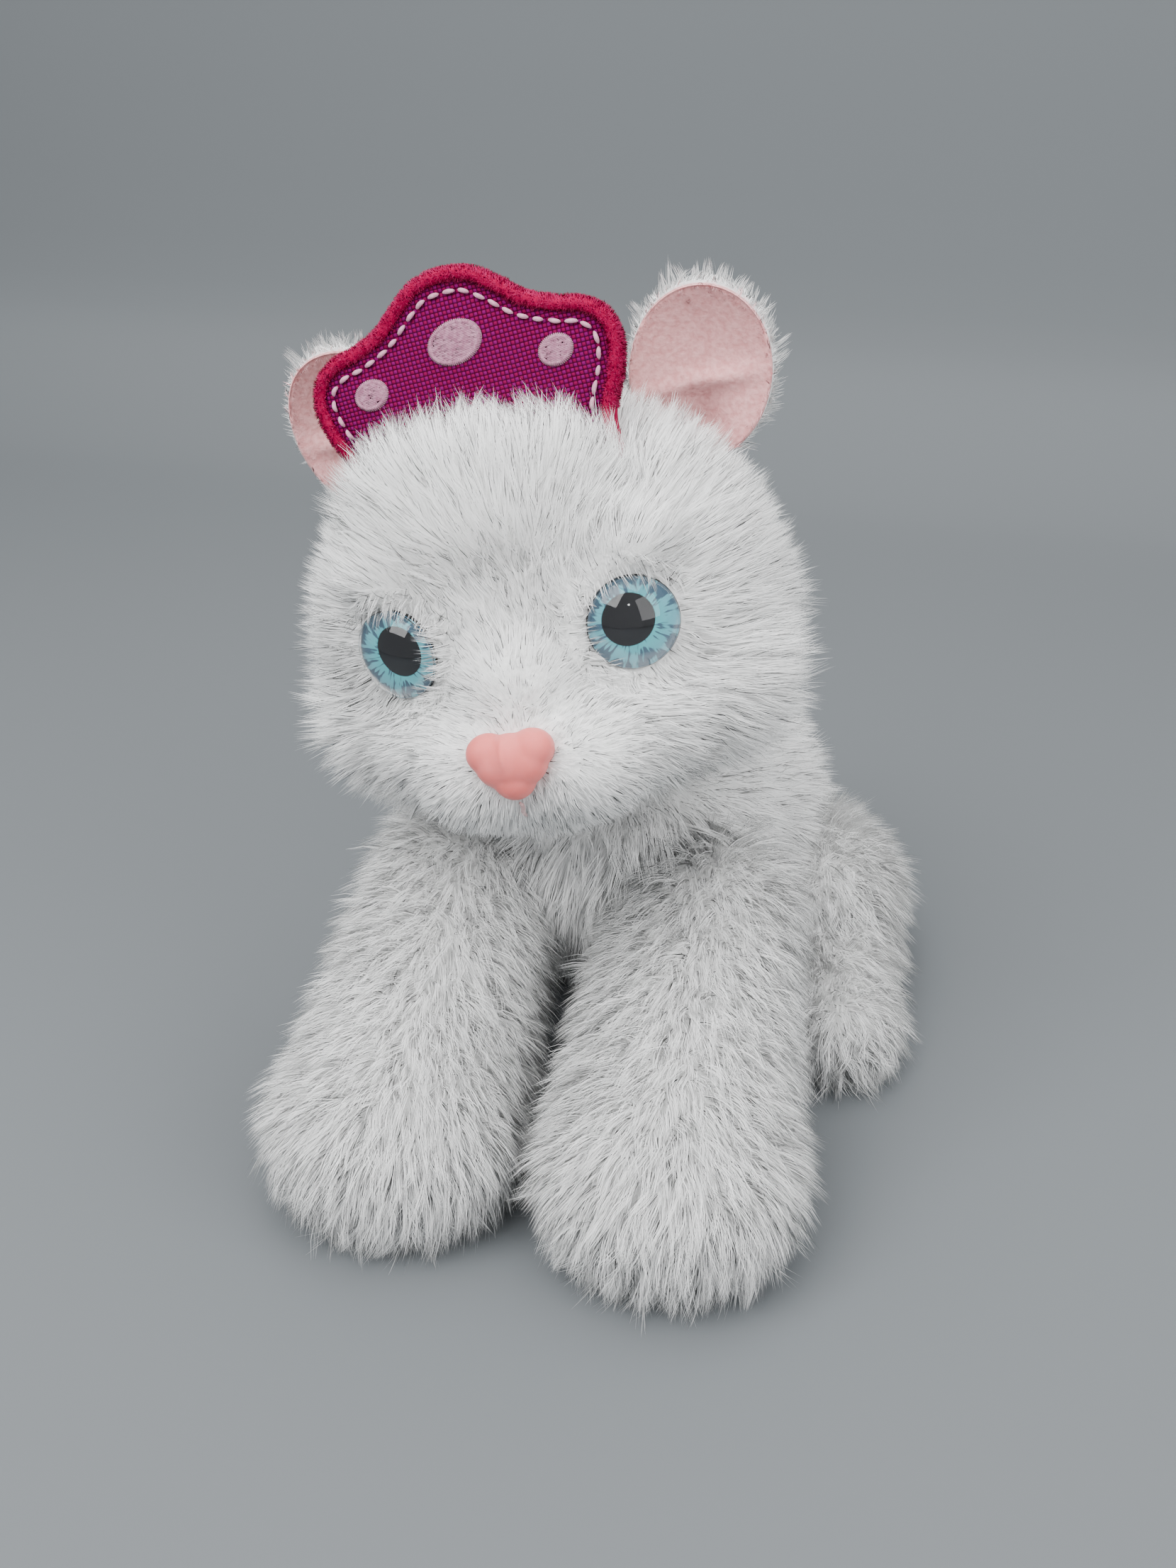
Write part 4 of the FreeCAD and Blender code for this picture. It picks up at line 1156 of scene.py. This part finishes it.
def cloth_panel(name, wide, tall, level, thickness, window=None):
    """A flat panel of cloth with slight ripples, given its thickness."""
    columns, rows = 40, 38
    spots, faces, kept = [], [], {}
    for row in range(rows + 1):
        for column in range(columns + 1):
            x = -wide + 2 * wide * column / columns
            y = -tall + 2 * tall * row / rows
            ripple = 0.18 * noise.noise(Vector((x, y, 3.0)) * 0.25)
            kept[column, row] = len(spots)
            spots.append((x, y, level + ripple))
    for row in range(rows):
        for column in range(columns):
            x = -wide + 2 * wide * (column + 0.5) / columns
            y = -tall + 2 * tall * (row + 0.5) / rows
            if window and abs(x) < window[0] and abs(y) < window[1]:
                continue
            faces.append((kept[column, row], kept[column + 1, row], kept[column + 1, row + 1],
                          kept[column, row + 1]))
    piece = mesh_piece(name, spots, faces, UNIT)
    thicken(piece, thickness, 0)
    return piece


def build_pocket():
    cloth = speckled("lining_twill", (0.74, 0.74, 0.73), (0.88, 0.88, 0.87), 2200, 0.85, bump=0.9,
                     Sheen_Weight=0.2)
    flap = cloth_panel("pocket_flap", 14.2, 13.2, FLAP_LEVEL, 1.2)
    finish_piece(flap, cloth, "lining_cloth", "access_flap", body="access_flap")
    facing = cloth_panel("pocket_opening", 14.9, 13.9, 13.9, 1.0, window=(9.0, 6.0))
    finish_piece(facing, cloth, "lining_cloth", "pocket_facing", body="torso")
    roots, normals = samples(flap, 3.0)
    outside = aim(UNIT, 0, 0, 1)
    keep = (normals @ outside) > 0.5
    comb = np.tile(aim(UNIT, 0, -1, 0), (int(keep.sum()), 1))
    grow_pile("pocket_flap_fur", "access_flap", roots[keep], normals[keep], comb, 6.0 * MM, WHITE_FUR)


# ---- CAD nodes that keep their shape ----

def dress_nodes():
    rows = (
        ("stuffing", "polyester_fibre", (0.78, 0.78, 0.77), (0.95, 0.95, 0.94), 420, 0.95, 1.0, 0),
        ("padding", "wadding", (0.76, 0.76, 0.74), (0.92, 0.92, 0.90), 500, 0.95, 1.0, 0),
        ("pellets", "pellet_granules", (0.60, 0.60, 0.57), (0.90, 0.90, 0.88), 330, 0.5, 1.0, 0),
        ("black_plastic", "black_moulding", (0.006, 0.006, 0.007), (0.012, 0.012, 0.013), 300, 0.25, 0.0, 0),
        ("washer_plastic", "natural_moulding", (0.62, 0.62, 0.60), (0.70, 0.70, 0.68), 200, 0.45, 0.0, 0),
        ("case_plastic", "case_moulding", (0.66, 0.66, 0.64), (0.72, 0.72, 0.70), 260, 0.4, 0.05, 0),
        ("button_plastic", "button_moulding", (0.50, 0.02, 0.03), (0.58, 0.03, 0.04), 260, 0.35, 0.05, 0),
        ("spring_steel", "plated_spring", (0.55, 0.55, 0.56), (0.68, 0.68, 0.69), 900, 0.28, 0.0, 1),
        ("screw_steel", "plated_screw", (0.45, 0.45, 0.46), (0.60, 0.60, 0.61), 900, 0.32, 0.0, 1),
        ("cell_steel", "nickel_plate", (0.66, 0.66, 0.67), (0.76, 0.76, 0.77), 500, 0.22, 0.0, 1),
        ("board", "board_resist", (0.01, 0.09, 0.03), (0.02, 0.14, 0.05), 600, 0.4, 0.0, 0),
        ("cone_film", "cone_moulding", (0.30, 0.29, 0.26), (0.38, 0.37, 0.34), 500, 0.45, 0.0, 0),
        ("magnet", "magnet_plate", (0.25, 0.25, 0.26), (0.34, 0.34, 0.35), 700, 0.35, 0.0, 1),
        ("lining_cloth", "pouch_cloth", (0.74, 0.74, 0.73), (0.88, 0.88, 0.87), 2200, 0.85, 0.9, 0),
        ("closure_tape", "tape_loops", (0.66, 0.66, 0.64), (0.90, 0.90, 0.88), 1500, 0.9, 1.0, 0))
    by_slot = {slot: speckled(name, low, high, scale, roughness, bump, Metallic=float(metal))
               for slot, name, low, high, scale, roughness, bump, metal in rows}
    replaced = {"white_plush", "short_plush", "pink_plush", "nose_plastic", "pink_thread", "tiara_felt",
                "tiara_weave", "tiara_thread", "eye_clear", "eye_print"}
    for part in frame["record"]["subparts"]:
        if part["material_slot"] not in replaced:
            assign(bpy.data.objects[part["node"]], by_slot[part["material_slot"]])


# ---- stage, lights and camera ----

LAMPS = (("key", (-0.30, -0.60, 0.85), 0.6, 12.5), ("fill", (0.75, -0.45, 0.55), 0.7, 6.5),
         ("top", (0.0, 0.05, 1.0), 0.9, 9.5), ("glint", (0.16, -0.52, 0.50), 0.035, 0.12))


def studio():
    build = bmesh.new()
    profile = [(-1.2, 0.0), (0.30, 0.0), (0.40, 0.012), (0.47, 0.05), (0.50, 0.12), (0.50, 1.4)]
    rows = [[build.verts.new((x, y, z)) for x in (-1.6, 1.6)] for y, z in profile]
    for near, far in zip(rows, rows[1:]):
        build.faces.new((near[0], near[1], far[1], far[0]))
    floor = add_object("floor", mesh_from(build, "floor"))
    bend = floor.modifiers.new("round", "SUBSURF")
    bend.levels = 3
    bend.render_levels = 3
    assign(floor, plain("paper", (0.150, 0.162, 0.171), 0.85))
    sky = bpy.data.worlds.new("studio")
    sky.use_nodes = True
    background = sky.node_tree.nodes["Background"]
    background.inputs["Color"].default_value = (0.95, 0.98, 1.0, 1)
    background.inputs["Strength"].default_value = 0.74
    bpy.context.scene.world = sky
    sky.cycles_visibility.glossy = False
    for name, spot, size, power in LAMPS:
        light = bpy.data.lights.new(name, "AREA")
        light.size = size
        light.energy = power
        lamp = bpy.data.objects.new(name, light)
        lamp.location = spot
        lamp.visible_glossy = name == "glint"
        lamp.rotation_euler = (Vector((0, -0.02, 0.08)) - Vector(spot)).to_track_quat("-Z", "Y").to_euler()
        bpy.context.scene.collection.objects.link(lamp)


def set_camera():
    camera = bpy.data.cameras.new("camera")
    camera.sensor_fit = "VERTICAL"
    camera.sensor_height = 36
    camera.lens = 36.4
    camera.clip_start = 0.01
    eye = bpy.data.objects.new("camera", camera)
    eye.location = (0.0834, -0.3620, 0.2570)
    eye.rotation_euler = (math.radians(90 - 28), 0, math.radians(15))
    bpy.context.scene.collection.objects.link(eye)
    bpy.context.scene.camera = eye


# ---- build ----

studio()
set_camera()
build_coat()
build_ears()
build_tiara()
build_eyes()
build_nose()
build_pocket()
dress_nodes()
